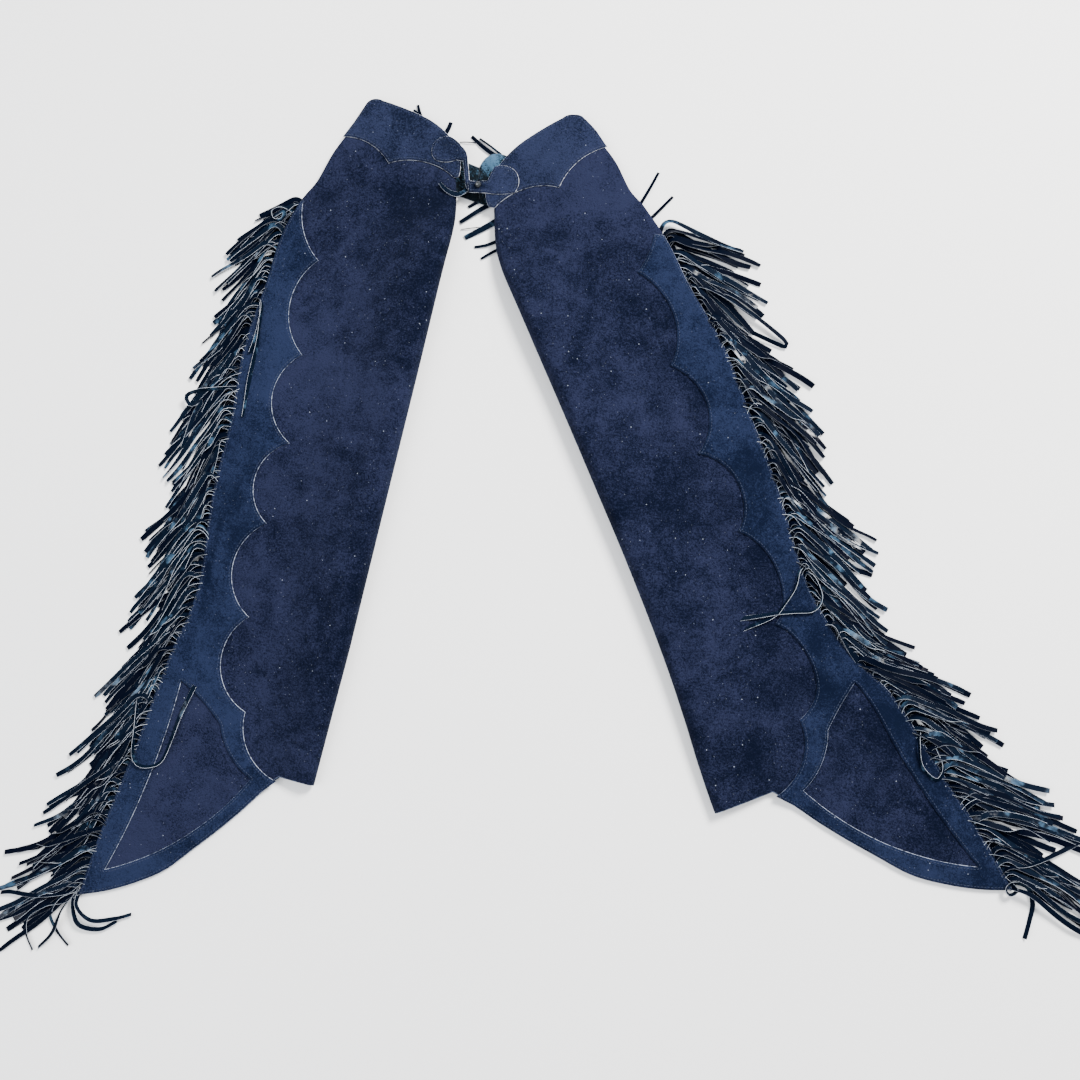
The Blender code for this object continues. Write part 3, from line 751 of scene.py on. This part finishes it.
def legStations(share):
    # across and along of a grid on one layer, from the fold (share 0) to the seam (1)
    top = legGrid["waistAtFold"] + share * (legGrid["waistAtHip"] - legGrid["waistAtFold"])

    def acrossAt(along):
        start = innerEdge(along) + foldHeight(along) / 2
        return start + share * (outerSeam(along) - start)
    end = np.full(share.shape, 800.0)
    for turn in range(12):
        end = bottomAlong(acrossAt(end))
    steps = np.arange(legGrid["rows"]) / legGrid["rows"]
    upper = top + steps[:, None] * (pattern["flareStarts"] - top)
    steps = np.arange(legGrid["flareRows"] + 1) / legGrid["flareRows"]
    lower = pattern["flareStarts"] + steps[:, None] * (end - pattern["flareStarts"])
    along = np.vstack([upper, lower])
    return acrossAt(along), along


def buildLeg(side):
    across, along = legStations(np.linspace(1, 0, legGrid["frontColumns"]))
    front = place(side, across, along, frontHeight(side, across, along))
    backAcross, backAlong = legStations(np.linspace(0, 1, legGrid["backColumns"]))
    back = place(side, backAcross, backAlong, backHeight(backAlong))
    atFold = along[:, -1:]
    radius = foldHeight(atFold) / 2
    turn = np.pi * (0.5 + np.arange(1, legGrid["foldColumns"]) / legGrid["foldColumns"])[None, :]
    centre = innerEdge(atFold) + radius
    curve = place(side, centre + radius * np.cos(turn), atFold + 0 * turn,
                  backHeight(atFold) + radius + radius * np.sin(turn))
    grid = np.concatenate([front, curve, back], axis=1)
    rows, columns = grid.shape[:2]
    number = np.arange(rows * columns).reshape(rows, columns)
    quads = np.stack([number[:-1, :-1], number[:-1, 1:], number[1:, 1:], number[1:, :-1]], axis=-1)
    quads = quads.reshape(-1, 4)
    a, b, d = grid[0, 0], grid[0, 1], grid[1, 0]
    if np.cross(b - a, d - a)[2] < 0:
        quads = quads[:, ::-1]
    foldTone = np.repeat(napToneAndShade(side, centre, atFold), legGrid["foldColumns"] - 1, axis=1)
    # the rolled fold is painted 0.1 darker than its nap: painted shade where it turns down
    tone = np.concatenate([napToneAndShade(side, across, along), foldTone - 0.1,
                           napToneAndShade(side, backAcross, backAlong)], axis=1)
    raw = np.zeros((rows, columns))
    raw[-1, :] = 1.0
    raw[-2, :] = 0.1
    thing = makeMesh(side + "LegSuede", grid.reshape(-1, 3), quads, materials["legSuede"],
                     {"rawEdgeAndLight": raw.ravel(), "napToneAndShade": tone.ravel()})
    wall = thing.modifiers.new("leather wall", "SOLIDIFY")
    wall.thickness = pattern["legLeather"] * mm
    wall.offset = -1.0
    tip = pattern["tip"]
    width = 2 * (outerSeam(tip) - innerEdge(tip)) + math.pi * foldHeight(tip) / 2
    length = tip - legGrid["waistAtHip"]
    frontArea = np.sum(np.abs(np.diff(across, axis=1)[:-1] * np.diff(along, axis=0)[:, :-1]))
    area = 2 * frontArea + np.sum(np.pi * radius[:-1, 0] * np.diff(atFold[:, 0]))
    return thing, (float(width) * mm, length * mm), float(area) * mm * mm


def panelArea(border):
    a = np.array(border)
    b = np.roll(a, -1, axis=0)
    return float(abs(np.sum(a[:, 0] * b[:, 1] - b[:, 0] * a[:, 1]))) / 2 * mm * mm


def panelFlat(border):
    # the smallest rectangle the piece is cut from, whichever way it is turned
    a = np.array(border)
    best = None
    for degrees in range(0, 180, 3):
        c, s = math.cos(math.radians(degrees)), math.sin(math.radians(degrees))
        turned = a @ np.array([[c, -s], [s, c]])
        size = turned.max(axis=0) - turned.min(axis=0)
        if best is None or size[0] * size[1] < best[0] * best[1]:
            best = size
    return float(best.min()) * mm, float(best.max()) * mm


def paintedEdgeLight(side, flat, border, hole, low):
    # painted edge light: cut edges keep their full pale colour where they face the light and are painted
    # duller where they face away
    facing = np.ones(len(flat))
    for loop, sign in [(border, 1), (hole, -1)]:
        if loop is None:
            continue
        loop = np.array(loop)
        inner = insetLoop(loop, 2.0)
        outward = place(side, loop[:, 0], loop[:, 1], 0.0) - place(side, inner[:, 0], inner[:, 1], 0.0)
        outward = sign * outward[:, :2] / np.linalg.norm(outward[:, :2], axis=1, keepdims=True)
        amount = low + (1 - low) * ease(0.5 + outward @ np.array(edgeLightFrom))
        near = np.argmin(np.linalg.norm(flat[:, None, :] - loop[None, :, :], axis=2), axis=1)
        apart = np.linalg.norm(flat - loop[near], axis=1)
        facing = np.where(apart < 2.0, amount[near], facing)
    return facing


def stripBorder(side):
    scallops = [pattern["stripTops"][side]] + pattern["scallops"]
    border = [np.array(scallops[0][:2], float)]
    for (across, along, bite), after in zip(scallops, scallops[1:]):
        border += arcPoints((across, along), after[:2], bite, 3.0)
    border += [np.array([across, flareCurve(across)]) for across in np.arange(64.0, 245.0, 6.0)]
    stations = np.arange(pattern["tip"], scallops[0][1] + 4, -4.0)
    border += [np.array([outerSeam(s) - 0.3, s]) for s in stations]
    return border


frontYokes = {
    "left": [(9, -57, 1), (11, -76, 1), (17, -97, 0), (44, -117, 1), (72, -129, 1),
             (126, -139, 4), (147, -132, 0), (167, -81, -10), (100, -58, -13), (15, -55, 0)],
    "right": [(8, -62, 1), (9, -80, 1), (18, -98, 0), (44, -117, 1), (72, -129, 1),
              (126, -139, 4), (147, -132, 0), (167, -81, -10), (97, -53, -13), (14, -57, 0)],
}
frontTabs = {
    "left": [(-20, -44, 0), (-22, -56, 0), (-5, -56, 0), (3, -82, 2), (14, -97, 1),
             (31, -108, 14), (43, -74, 3), (17, -78, 0), (8, -78, 0), (-1, -50, 0), (-4, -44, 0)],
    "right": [(-10, -88, 0), (-8, -102, 0), (16, -94, 0), (28, -109, 17), (43, -67, 2),
              (10, -79, 0)],
}
window = outline(pattern["window"], 3.0)
trims = {
    # edgeInShade is how much of the pale cut-edge colour is left where an edge faces away from the light:
    # painted edge shade
    "FlareStrip": {"node": "_flare_strip", "restsOn": "LegSuede", "height": trimHeight,
                   "finish": "trimSuede", "spacing": 5.0, "edgeInShade": 0.5},
    "FrontYoke": {"node": "_front_yoke", "restsOn": "LegSuede", "height": trimHeight,
                  "finish": "yokeSuede", "spacing": 4.5, "edgeInShade": 0.8},
    "FrontTab": {"node": "_front_tab", "restsOn": "FrontYokePanel", "height": tabHeight,
                 "finish": "yokeSuede", "spacing": 3.0, "edgeInShade": 0.8},
}
edgeLightFrom = (0.55, 0.45)
sheets = []


def trimBorder(side, ending):
    if ending == "FlareStrip":
        return stripBorder(side)
    if ending == "FrontYoke":
        return outline(frontYokes[side], 3.0)
    return outline(frontTabs[side], 2.0)


def addSheet(piece, flat, area, node, slotName, restsOn):
    sheets.append({"piece": piece, "flat": flat, "area": area, "node": node, "slot": slotName,
                   "restsOn": restsOn, "with": []})


def layTrim(side, ending):
    # a panel laid on the leg: its underside follows what it lies on, its top is moved out
    trim = trims[ending]
    border = trimBorder(side, ending)
    hole = window if ending == "FlareStrip" else None
    flat, faces, kind = cutPanel(border, hole, trim["spacing"], 0.6)
    across, along = flat.T
    base = trim["height"](side, across, along)
    low = place(side, across, along, base)
    high = place(side, across, along, base + pattern["trimLeather"])
    piece = solidPanel(side + ending + "Panel", faces, kind, low, high, materials[trim["finish"]],
                       napToneAndShade(side, across, along), paintedEdgeLight(side, flat, border, hole, trim["edgeInShade"]))
    size = panelFlat(border)
    area = panelArea(border)
    if hole is not None:
        # the net area is just under the least share of its rectangle that a sheet may state
        area = max(area - panelArea(hole), 0.301 * size[0] * size[1])
    addSheet(piece, size, area, side + trim["node"], "trim_suede", side + trim["restsOn"])


for side in legs:
    addSheet(*buildLeg(side), side + "_leg", "main_suede", "floorPlane")
    for ending in trims:
        layTrim(side, ending)
print("legs and trims laid out")

# back yokes: their pale reverse shows in the gap at the waist

backYokes = {
    "left": [(14, -84, 0), (69, -122, 2), (126, -134, 4), (144, -127, 0), (163, -74, -3),
             (70, -42, -3), (16, -38, 0)],
    "right": [(50, -118, 0), (72, -122, 2), (126, -134, 4), (144, -127, 0), (163, -74, -3),
              (70, -46, -3), (16, -60, 0)],
}
# in the garment's own millimetres: the joint at the centre back, and where the yoke arches up
centreBack = [(-75.0, 418.0), (-75.0, 464.0)]
archMiddle = (-58.0, 472.0)
archRadii = (24.0, 22.0)
backYokeFloor = 1.9        # height of its underside


def onFloor(side, across, along):
    return place(side, across, along, 0.0)[..., :2] / mm


def layBackYoke(side):
    corners = backYokes[side]
    ring = [onFloor(side, *corners[0][:2])]
    for start, end in zip(corners, corners[1:]):
        ring += [onFloor(side, *point) for point in arcPoints(start[:2], end[:2], start[2], 3.0)]
    gap = np.array([legs[side]["side"] * 0.15, 0])
    meet = [np.array(point) - np.array(middle) + gap for point in centreBack]
    ring += arcPoints(ring[-1], meet[0], 0, 3.0) + arcPoints(meet[0], meet[1], 0, 3.0)
    ring += arcPoints(meet[1], ring[0], -9.0 if side == "right" else 0, 3.0)[:-1]
    flat, faces, kind = cutPanel(ring, None, 3.5, 0.9)
    reach = np.linalg.norm((flat - np.array(archMiddle) + np.array(middle)) / np.array(archRadii), axis=1)
    arch = (6.5 if side == "right" else 2.0) * (1 - ease(reach))
    # the reverse is pale; that colour is kept where the right yoke arches up, and below the arch and over the
    # whole left yoke it is painted dark, as painted shade
    tone = -1.0 + (1.8 * (1 - ease(reach * 0.85)) if side == "right" else -0.15)
    tone = tone + 0.3 * np.sin(flat[:, 0] / 1.6 + flat[:, 1] / 2.9)
    height = backYokeFloor + arch + 0.35 * np.sin(flat[:, 0] / 17) * np.sin(flat[:, 1] / 13)
    height = np.maximum(height, backYokeFloor)
    low = np.column_stack([flat, height]) * mm
    high = np.column_stack([flat, height + pattern["backLeather"]]) * mm
    piece = solidPanel(side + "BackYokePanel", faces, kind, low, high, materials["backSuede"], tone)
    addSheet(piece, panelFlat(ring), panelArea(ring), side + "_back_yoke", "back_suede",
             side + "_back_fringe")


for side in legs:
    layBackYoke(side)


# fringe

fringe = {
    "pitch": 4.9, "halfWidth": 3.3, "thicknessShare": 0.13, "steps": 28, "seed": 17,
    # lowest and highest of what differs from strand to strand: shares of the length, degrees, millimetres
    "lengthShare": (0.82, 1.04), "underShare": (0.5, 0.85), "firstTurn": (-55, 42), "lastTurn": (-6, 10),
    "rootLean": (20, 78), "crest": (6.0, 10.0), "rest": (1.6, 3.4), "underRest": (1.1, 2.2),
    "rollOver": 0.2,       # share of the strands that turn their dark side up
    # along, heading from straight out of the seam, in degrees, length, spread
    "left": [(8, 44, 104, 9), (45, 54, 104, 9), (110, 62, 112, 10), (190, 66, 128, 11), (400, 68, 142, 11),
             (560, 66, 138, 11), (700, 64, 138, 11), (800, 58, 132, 12), (880, 50, 128, 16),
             (905, 62, 128, 24)],
    "right": [(46, 44, 120, 8), (80, 54, 128, 9), (130, 65, 140, 10), (400, 68, 146, 11),
              (560, 66, 138, 11), (700, 56, 132, 11), (800, 48, 130, 12), (880, 44, 135, 16),
              (905, 58, 135, 20)],
}


def strandFrame(points, lean, towards):
    # facing vectors: from straight up, leaned by an angle about the strand's own line
    tangent = np.gradient(points, axis=0)
    tangent /= np.maximum(np.linalg.norm(tangent, axis=1, keepdims=True), 1e-12)
    upright = np.array([0.0, 0.0, 1.0]) - tangent * tangent[:, 2:3]
    upright /= np.maximum(np.linalg.norm(upright, axis=1, keepdims=True), 1e-9)
    sideways = np.cross(tangent, upright)
    turn = np.sign(np.sum(np.where(np.sum(sideways * towards, axis=1) < 0, -1, 1))) or 1
    return upright * np.cos(lean)[:, None] + sideways * turn * np.sin(lean)[:, None]


class StrandSet:
    # strands of one piece, gathered before they are swept
    def __init__(self):
        self.lines, self.facings, self.halfWidths, self.tints = [], [], [], []

    def add(self, points, lean, towards, halfWidth, tint):
        self.lines.append(points)
        self.facings.append(strandFrame(points, lean, towards))
        self.halfWidths.append(halfWidth)
        self.tints.append(np.full(len(points), tint))

    def sweep(self, name):
        guides = guideObject(name + "Guides", self.lines, {
            "faceUp": self.facings, "halfWidth": self.halfWidths, "tint": self.tints})
        piece = runTree(name, guides, strandTree, {
            "Thickness share": fringe["thicknessShare"], "Leather": materials["strandLeather"]})
        for vertex in piece.data.vertices:
            vertex.co.z = max(vertex.co.z, 0.0001)
        piece.data.shade_smooth()
        piece.data.set_sharp_from_angle(angle=math.radians(50))
        return piece


def smoothLine(knots, count):
    # a smooth line through knots, evenly spaced along itself
    k = np.array(knots, float)
    padded = np.vstack([2 * k[0] - k[1], k, 2 * k[-1] - k[-2]])
    line = []
    for i in range(1, len(padded) - 2):
        for t in np.linspace(0, 1, 16, endpoint=False):
            a, b, c, d = padded[i - 1], padded[i], padded[i + 1], padded[i + 2]
            line.append(0.5 * (2 * b + (c - a) * t + (2 * a - 5 * b + 4 * c - d) * t * t
                               + (3 * b - a - 3 * c + d) * t ** 3))
    line.append(k[-1])
    line = np.array(line)
    length = np.concatenate([[0], np.cumsum(np.linalg.norm(np.diff(line, axis=0), axis=1))])
    at = np.linspace(0, length[-1], count)
    return np.column_stack([np.interp(at, length, line[:, c]) for c in range(line.shape[1])])


def seamStrand(side, rowAlong, clump, chance, strands, under=False):
    heading, length, spread = (columnReader(fringe[side], c)(rowAlong) for c in (1, 2, 3))
    length = float(length) * chance.uniform(*fringe["underShare" if under else "lengthShare"])
    count = fringe["steps"]
    s = np.linspace(0, length, count)
    aim = float(heading) + clump["turn"] * float(spread) + chance.gauss(0, 5)
    first = chance.uniform(*fringe["firstTurn"])
    angle = first + (aim - first) * ease(s / (clump["hook"] * chance.uniform(0.6, 1.2)))
    angle += chance.uniform(2, 9) * np.sin(s / chance.uniform(11, 24) + chance.uniform(0, 6.3)) * ease(s / 40)
    angle -= chance.uniform(*fringe["lastTurn"]) * ease((s - 0.45 * length) / (0.55 * length))
    step = length / (count - 1)
    angle = np.radians(angle[:-1])
    across = outerSeam(rowAlong) - 4 + np.concatenate([[0], np.cumsum(np.cos(angle))]) * step
    along = rowAlong + np.concatenate([[0], np.cumsum(np.sin(angle))]) * step
    crest = chance.uniform(*fringe["crest"]) + clump["lift"]
    rest = chance.uniform(*fringe["rest"]) + 0.6 * clump["lift"]
    height = 3.2 + (crest - 3.2) * ease(s / 14) + (rest - crest) * ease((s - 16) / (0.62 * length))
    if under:
        height = 2.6 + (chance.uniform(*fringe["underRest"]) - 2.6) * ease(s / 30)
    height += 1.6 * (0 if under else clump["bulge"]) * np.exp(-((s - clump["bulgeAt"] * length) / 16) ** 2)
    points = place(side, across, along, np.maximum(height, 1.1))
    rootLean = chance.uniform(*fringe["rootLean"])
    lean = np.radians(rootLean - (rootLean - clump["lean"]) * ease((s - 5) / 24))
    if chance.random() < fringe["rollOver"]:
        lean = lean + math.pi * ease((s - chance.uniform(0.25, 0.6) * length) / 26)
    roll = math.radians(chance.uniform(8, 24)) * np.sin(s / chance.uniform(14, 26) + chance.uniform(0, 6.3))
    lean += roll * ease(s / 30)
    waistward = place(side, 220.0, 0.0, 0.0) - place(side, 220.0, 9.0, 0.0)
    if under:
        lean = lean * 0.3
    width = fringe["halfWidth"] * chance.uniform(0.82, 1.1) * np.ones(count)
    width[-1] *= 0.9
    strands.add(points, lean, waistward, width * mm, chance.uniform(0, 0.35) if under else chance.random())


# strands that fell apart from the rest: across, along, height; then lean, lean of the end and tint
looseStrands = {
    "left": [
        ([(216, 150, 4), (212, 160, 9), (206, 200, 9), (204, 250, 8), (200, 296, 7)], 62, 62, 0.8),
        ([(216, 146, 4), (211, 158, 10), (209, 190, 9), (212, 216, 8)], 60, 60, 0.7),
        ([(204, 28, 4), (220, 26, 10), (231, 34, 11), (226, 45, 10), (215, 42, 9), (217, 32, 10),
          (240, 52, 6), (262, 86, 3)], 40, 40, 0.8),
        ([(218, 262, 4), (236, 268, 11), (262, 276, 10), (276, 286, 9), (268, 296, 8), (256, 288, 9),
          (262, 310, 6), (266, 350, 3)], 40, 40, 0.9),
        ([(229, 646, 4), (237, 656, 9), (231, 698, 10), (226, 727, 10), (216, 738, 9), (202, 736, 8),
          (190, 726, 8), (185, 697, 8), (182, 668, 8), (174, 630, 8)], 58, 8, 0.9),
        ([(250, 890, 4), (262, 905, 9), (300, 918, 6), (330, 922, 3), (343, 926, 2)], 40, 40, 0.4),
        ([(250, 896, 4), (262, 925, 9), (268, 955, 5), (281, 977, 2)], 45, 45, 0.5),
        ([(249, 900, 4), (246, 918, 8), (226, 930, 5), (200, 922, 3), (181, 912, 2)], 45, 45, 0.6),
        ([(249, 903, 4), (262, 916, 8), (284, 926, 4), (303, 944, 3), (301, 963, 2),
          (287, 982, 2)], 45, 45, 0.5),
        ([(250, 898, 4), (268, 912, 9), (276, 934, 5), (264, 952, 3), (246, 966, 2)], 40, 40, 0.7),
        ([(249, 898, 4), (252, 914, 8), (240, 938, 5), (214, 938, 3), (196, 924, 2)], 40, 40, 0.5),
    ],
    "right": [
        ([(203, 484, 4), (196, 488, 11), (180, 504, 10), (150, 518, 9), (130, 525, 8), (97, 526, 8),
          (63, 524, 8)], 62, 5, 0.6),
        ([(206, 488, 4), (216, 500, 11), (214, 524, 11), (192, 535, 10), (157, 527, 9),
          (92, 513, 8)], 66, 20, 0.8),
        ([(219, 120, 4), (240, 138, 10), (270, 180, 8), (292, 222, 5), (291, 232, 4), (284, 226, 4),
          (262, 202, 6)], 30, 30, 0.4),
        ([(228, 706, 4), (222, 716, 11), (214, 742, 9), (222, 762, 9), (236, 752, 8),
          (238, 726, 8)], 58, 58, 0.7),
        ([(246, 890, 4), (252, 905, 8), (243, 908, 8), (242, 900, 8), (252, 897, 8), (265, 908, 6),
          (263, 927, 3), (253, 943, 2), (241, 959, 2)], 42, 42, 0.5),
        ([(248, 872, 4), (272, 884, 9), (310, 884, 5), (346, 880, 2.5), (372, 877, 2)], 42, 42, 0.4),
    ],
}


def headerBand(side):
    # the uncut header that the strands are cut from, just showing past the seam
    along = np.arange(pattern["stripTops"][side][1] + 4, pattern["tip"] - 1, 4.0)
    line = place(side, outerSeam(along) + 1.0, along, 2.6)
    return line, np.zeros(len(line)), np.array([0, 1.0, 0]), np.full(len(line), 5.0 * mm)


def buildLegFringe(side):
    chance = random.Random(fringe["seed"] + (0 if side == "left" else 5))
    strands = StrandSet()
    rowAlong = pattern["stripTops"][side][1] + 2.0
    inClump, clump = 0, {}
    while rowAlong < pattern["tip"] - 1:
        if inClump == 0:
            inClump = chance.randint(3, 9)
            clump = {"turn": chance.uniform(-1, 1), "hook": chance.uniform(14, 36),
                     "lift": chance.uniform(-1.5, 2.5), "lean": chance.uniform(6, 32),
                     "bulge": chance.uniform(0, 1.6), "bulgeAt": chance.uniform(0.35, 0.7)}
        seamStrand(side, rowAlong, clump, chance, strands)
        seamStrand(side, rowAlong + 0.5 * fringe["pitch"], clump, chance, strands, under=True)
        inClump -= 1
        rowAlong += fringe["pitch"] * chance.uniform(0.8, 1.2)
    strands.add(*headerBand(side), 0.0)
    for knots, lean, endLean, tint in looseStrands[side]:
        line = smoothLine(knots, 40)
        points = place(side, line[:, 0], line[:, 1], line[:, 2])
        atEnd = ease(np.linspace(-2.2, 1.2, 40))
        swing = np.radians(lean + (endLean - lean) * atEnd + 18 * (1 - atEnd) * np.sin(np.linspace(0, 7, 40)))
        strands.add(points, swing, points[0] - points[-1] + np.array([0.01, 0.02, 0]),
                    np.full(40, fringe["halfWidth"] * 0.85 * mm), tint)
    return strands.sweep(side + "LegFringe")


def buildBackFringe(side):
    # the fringe of the back yoke, flat under the legs; its ends show at the waist,
    # in the gap and past the right hip
    chance = random.Random(71 if side == "left" else 93)
    strands = StrandSet()
    shown = {
        # start and end, in the garment's own millimetres from its middle; half width and tint
        "left": [((-146, 526), (-153, 548), 2.2, 0.3), ((-140, 520), (-158, 542), 2.0, 0.5),
                 ((-120, 506), (-111, 524), 3.0, 0.2)],
        "right": [((-64, 425), (-89, 414), 2.4, 0.2), ((-56, 420), (-99, 395), 3.6, 0.4),
                  ((-70, 388), (-98, 386), 0.7, 0.1), ((-52, 396), (-93, 375), 4.0, 0.75),
                  ((-52, 370), (-81, 363), 2.2, 0.5), ((-50, 360), (-73, 348), 2.2, 0.4),
                  ((-53, 477), (-85, 505), 2.8, 0.1), ((-48, 480), (-75, 502), 1.6, 0.6),
                  ((-80, 496), (-100, 498), 0.8, 0.3), ((-75, 462), (-75, 421), 3.4, 0.0),
                  ((122, 410), (146, 452), 2.2, 0.3), ((130, 388), (163, 421), 2.2, 0.2)],
    }
    hidden = 26
    for k in range(hidden):
        # hidden runs under the leg, hanging from the yoke's lower edge
        across = 34 + (150 - 34) * k / (hidden - 1)
        along = -46.0 + chance.uniform(-3, 3)
        line = smoothLine([(across, along - 20, 0.7), (across + 4, along + 20, 0.7),
                           (across + chance.uniform(2, 12), along + chance.uniform(62, 76), 0.7)], 10)
        points = place(side, line[:, 0], line[:, 1], line[:, 2])
        strands.add(points, np.zeros(10), np.array([0, 1.0, 0]), np.full(10, 1.9 * mm), chance.random())
    for start, end, halfWidth, tint in shown[side]:
        a = np.array(start, float) - np.array(middle)
        b = np.array(end, float) - np.array(middle)
        bend = np.array([-(b - a)[1], (b - a)[0]]) * chance.uniform(-0.06, 0.06)
        line = smoothLine([(*a, 2.0), (*((a + b) / 2 + bend), 2.6), (*b, 1.2)], 14)
        strands.add(line * mm, np.full(14, math.radians(chance.uniform(-18, 18))), np.array([0, 1.0, 0]),
                    halfWidth * mm * np.linspace(1.0, 0.8, 14), tint)
    if side == "left":
        # the curled end under the yoke's front corner
        line = smoothLine([(30, -44, 16), (19, -36, 16.5), (6, -34, 14.5), (-3, -42, 12.5),
                           (-4, -52, 11.5)], 24)
        points = place(side, line[:, 0], line[:, 1], line[:, 2])
        strands.add(points, np.full(24, math.radians(12)), np.array([0, 1.0, 0]),
                    np.interp(np.arange(24), [0, 12, 23], [2.0, 3.4, 2.0]) * mm, 0.7)
    return strands.sweep(side + "BackFringe")


fringePieces = {}
for side in legs:
    fringePieces[side + "_leg_fringe"] = buildLegFringe(side)
    fringePieces[side + "_back_fringe"] = buildBackFringe(side)
print("fringe cut")


# stitching a little inside the edges of the trims

stitching = {"pitch": 0.0038, "stitch": 0.0027, "thread": 0.00042, "inset": 3.0, "seed": 3}


def seamLine(side, ending, loop, inset):
    moved = insetLoop(loop, inset)
    across, along = np.vstack([moved, moved[:1]]).T
    return place(side, across, along, trims[ending]["height"](side, across, along) + pattern["trimLeather"])


def stitchTrim(side, ending, seed):
    lines = [seamLine(side, ending, trimBorder(side, ending), stitching["inset"])]
    if ending == "FlareStrip":
        lines.append(seamLine(side, ending, window, -stitching["inset"]))
    guides = guideObject(side + ending + "Line", lines)
    thread = runTree(side + ending + "Stitches", guides, stitchTree, {
        "Pitch": stitching["pitch"], "Stitch": stitching["stitch"], "Thread": stitching["thread"],
        "Seed": seed, "Thread finish": materials["thread"]})
    for sheet in sheets:
        if sheet["piece"].name == side + ending + "Panel":
            sheet["with"].append(thread)


for number, side in enumerate(legs):
    for ending in trims:
        stitchTrim(side, ending, stitching["seed"] + number)
print("trims stitched")


# snap on the right tab

snapLook = {"rings": [(0.0, 1.7), (1.2, 1.7), (1.7, 1.9), (2.2, 2.4), (2.8, 2.4), (3.2, 1.9), (3.6, 1.2),
                      (3.8, 0.8), (3.8, 0.1), (3.2, 0.0), (0.0, 0.0)], "turns": 40}


def buildSnap():
    low, high = (np.array(corner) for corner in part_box("front_snap"))
    centre = (low + high) / 2
    rows = []
    for radius, height in snapLook["rings"]:
        turn = np.arange(snapLook["turns"]) / snapLook["turns"] * 2 * np.pi
        radius = max(radius, 0.02)
        rows.append(np.stack([centre[0] + radius * mm * np.cos(turn), centre[1] + radius * mm * np.sin(turn),
                              np.full(turn.shape, low[2] + height * mm)], axis=-1))
    grid = np.array(rows)
    count = snapLook["turns"]
    faces = [tuple(range(count))]
    for r in range(len(rows) - 1):
        for k in range(count):
            a, b = r * count + k, r * count + (k + 1) % count
            faces.append((a, a + count, b + count, b))
    faces.append(tuple(range((len(rows) - 1) * count, len(rows) * count))[::-1])
    piece = makeMesh("frontSnapCap", grid.reshape(-1, 3), faces, materials["snapMetal"])
    piece.data.set_sharp_from_angle(angle=math.radians(40))
    return piece


snap = buildSnap()

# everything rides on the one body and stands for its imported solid
def standFor(piece, node):
    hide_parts(node)
    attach(piece, "root")


for sheet in sheets:
    piece, node = sheet["piece"], sheet["node"]
    standFor(piece, node)
    for thread in sheet["with"]:
        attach(thread, "root")
    if node.endswith("_leg"):
        sheet["with"].append(fringePieces[node + "_fringe"])
    if node.endswith("_back_yoke"):
        sheet["with"].append(fringePieces[node.replace("yoke", "fringe")])
for node, piece in fringePieces.items():
    standFor(piece, node)
standFor(snap, "front_snap")


# floor, light and camera

def addFloor():
    mesh = bpy.data.meshes.new("floorPlane")
    mesh.from_pydata([(-6, -6, 0), (6, -6, 0), (6, 6, 0), (-6, 6, 0)], [], [(0, 1, 2, 3)])
    material, tree, shader = nodeTree("floorPaint")
    tone = rangeNode(tree, noiseNode(tree, objectPoint(tree), 1.5, 2.0), 0.3, 0.7)
    setShader(tree, shader, {
        "Base Color": mixColour(tree, tone, (0.93, 0.93, 0.932), (0.95, 0.95, 0.952)),
        "Roughness": 0.95, "Specular IOR Level": 0.1})
    mesh.materials.append(material)
    floor = addObject("floorPlane", mesh)
    floor.location.z = -0.0002


def addArea(name, position, size, watts, colour):
    lamp = bpy.data.lights.new(name, "AREA")
    lamp.size = size
    lamp.energy = watts
    lamp.color = colour
    thing = addObject(name, lamp)
    thing.location = position
    thing.rotation_euler = (-Vector(position)).to_track_quat("-Z", "Y").to_euler()


addFloor()
addArea("keyLight", (1.9, 1.9, 2.6), 1.1, 420, (1.0, 0.985, 0.96))
addArea("fillLight", (-2.2, -0.6, 2.4), 2.6, 90, (0.93, 0.96, 1.0))
world = bpy.data.worlds.new("studio")
world.use_nodes = True
world.node_tree.nodes["Background"].inputs["Color"].default_value = (0.95, 0.97, 1.0, 1.0)
world.node_tree.nodes["Background"].inputs["Strength"].default_value = 1.1
bpy.context.scene.world = world

shot = {"eye": (0.1138, -0.1956, 1.547), "target": (0.0058, -0.0336, 0.0), "lens": 43.33}
eye, target = Vector(shot["eye"]), Vector(shot["target"])
forward = (target - eye).normalized()
right = forward.cross(Vector((0, 1, 0))).normalized()
up = right.cross(forward)
cameraData = bpy.data.cameras.new("camera")
cameraData.lens = shot["lens"]
cameraData.sensor_width = 36.0
camera = addObject("camera", cameraData)
camera.matrix_world = Matrix((
    (right.x, up.x, -forward.x, eye.x), (right.y, up.y, -forward.y, eye.y),
    (right.z, up.z, -forward.z, eye.z), (0, 0, 0, 1)))
bpy.context.scene.camera = camera

print("scene ready")
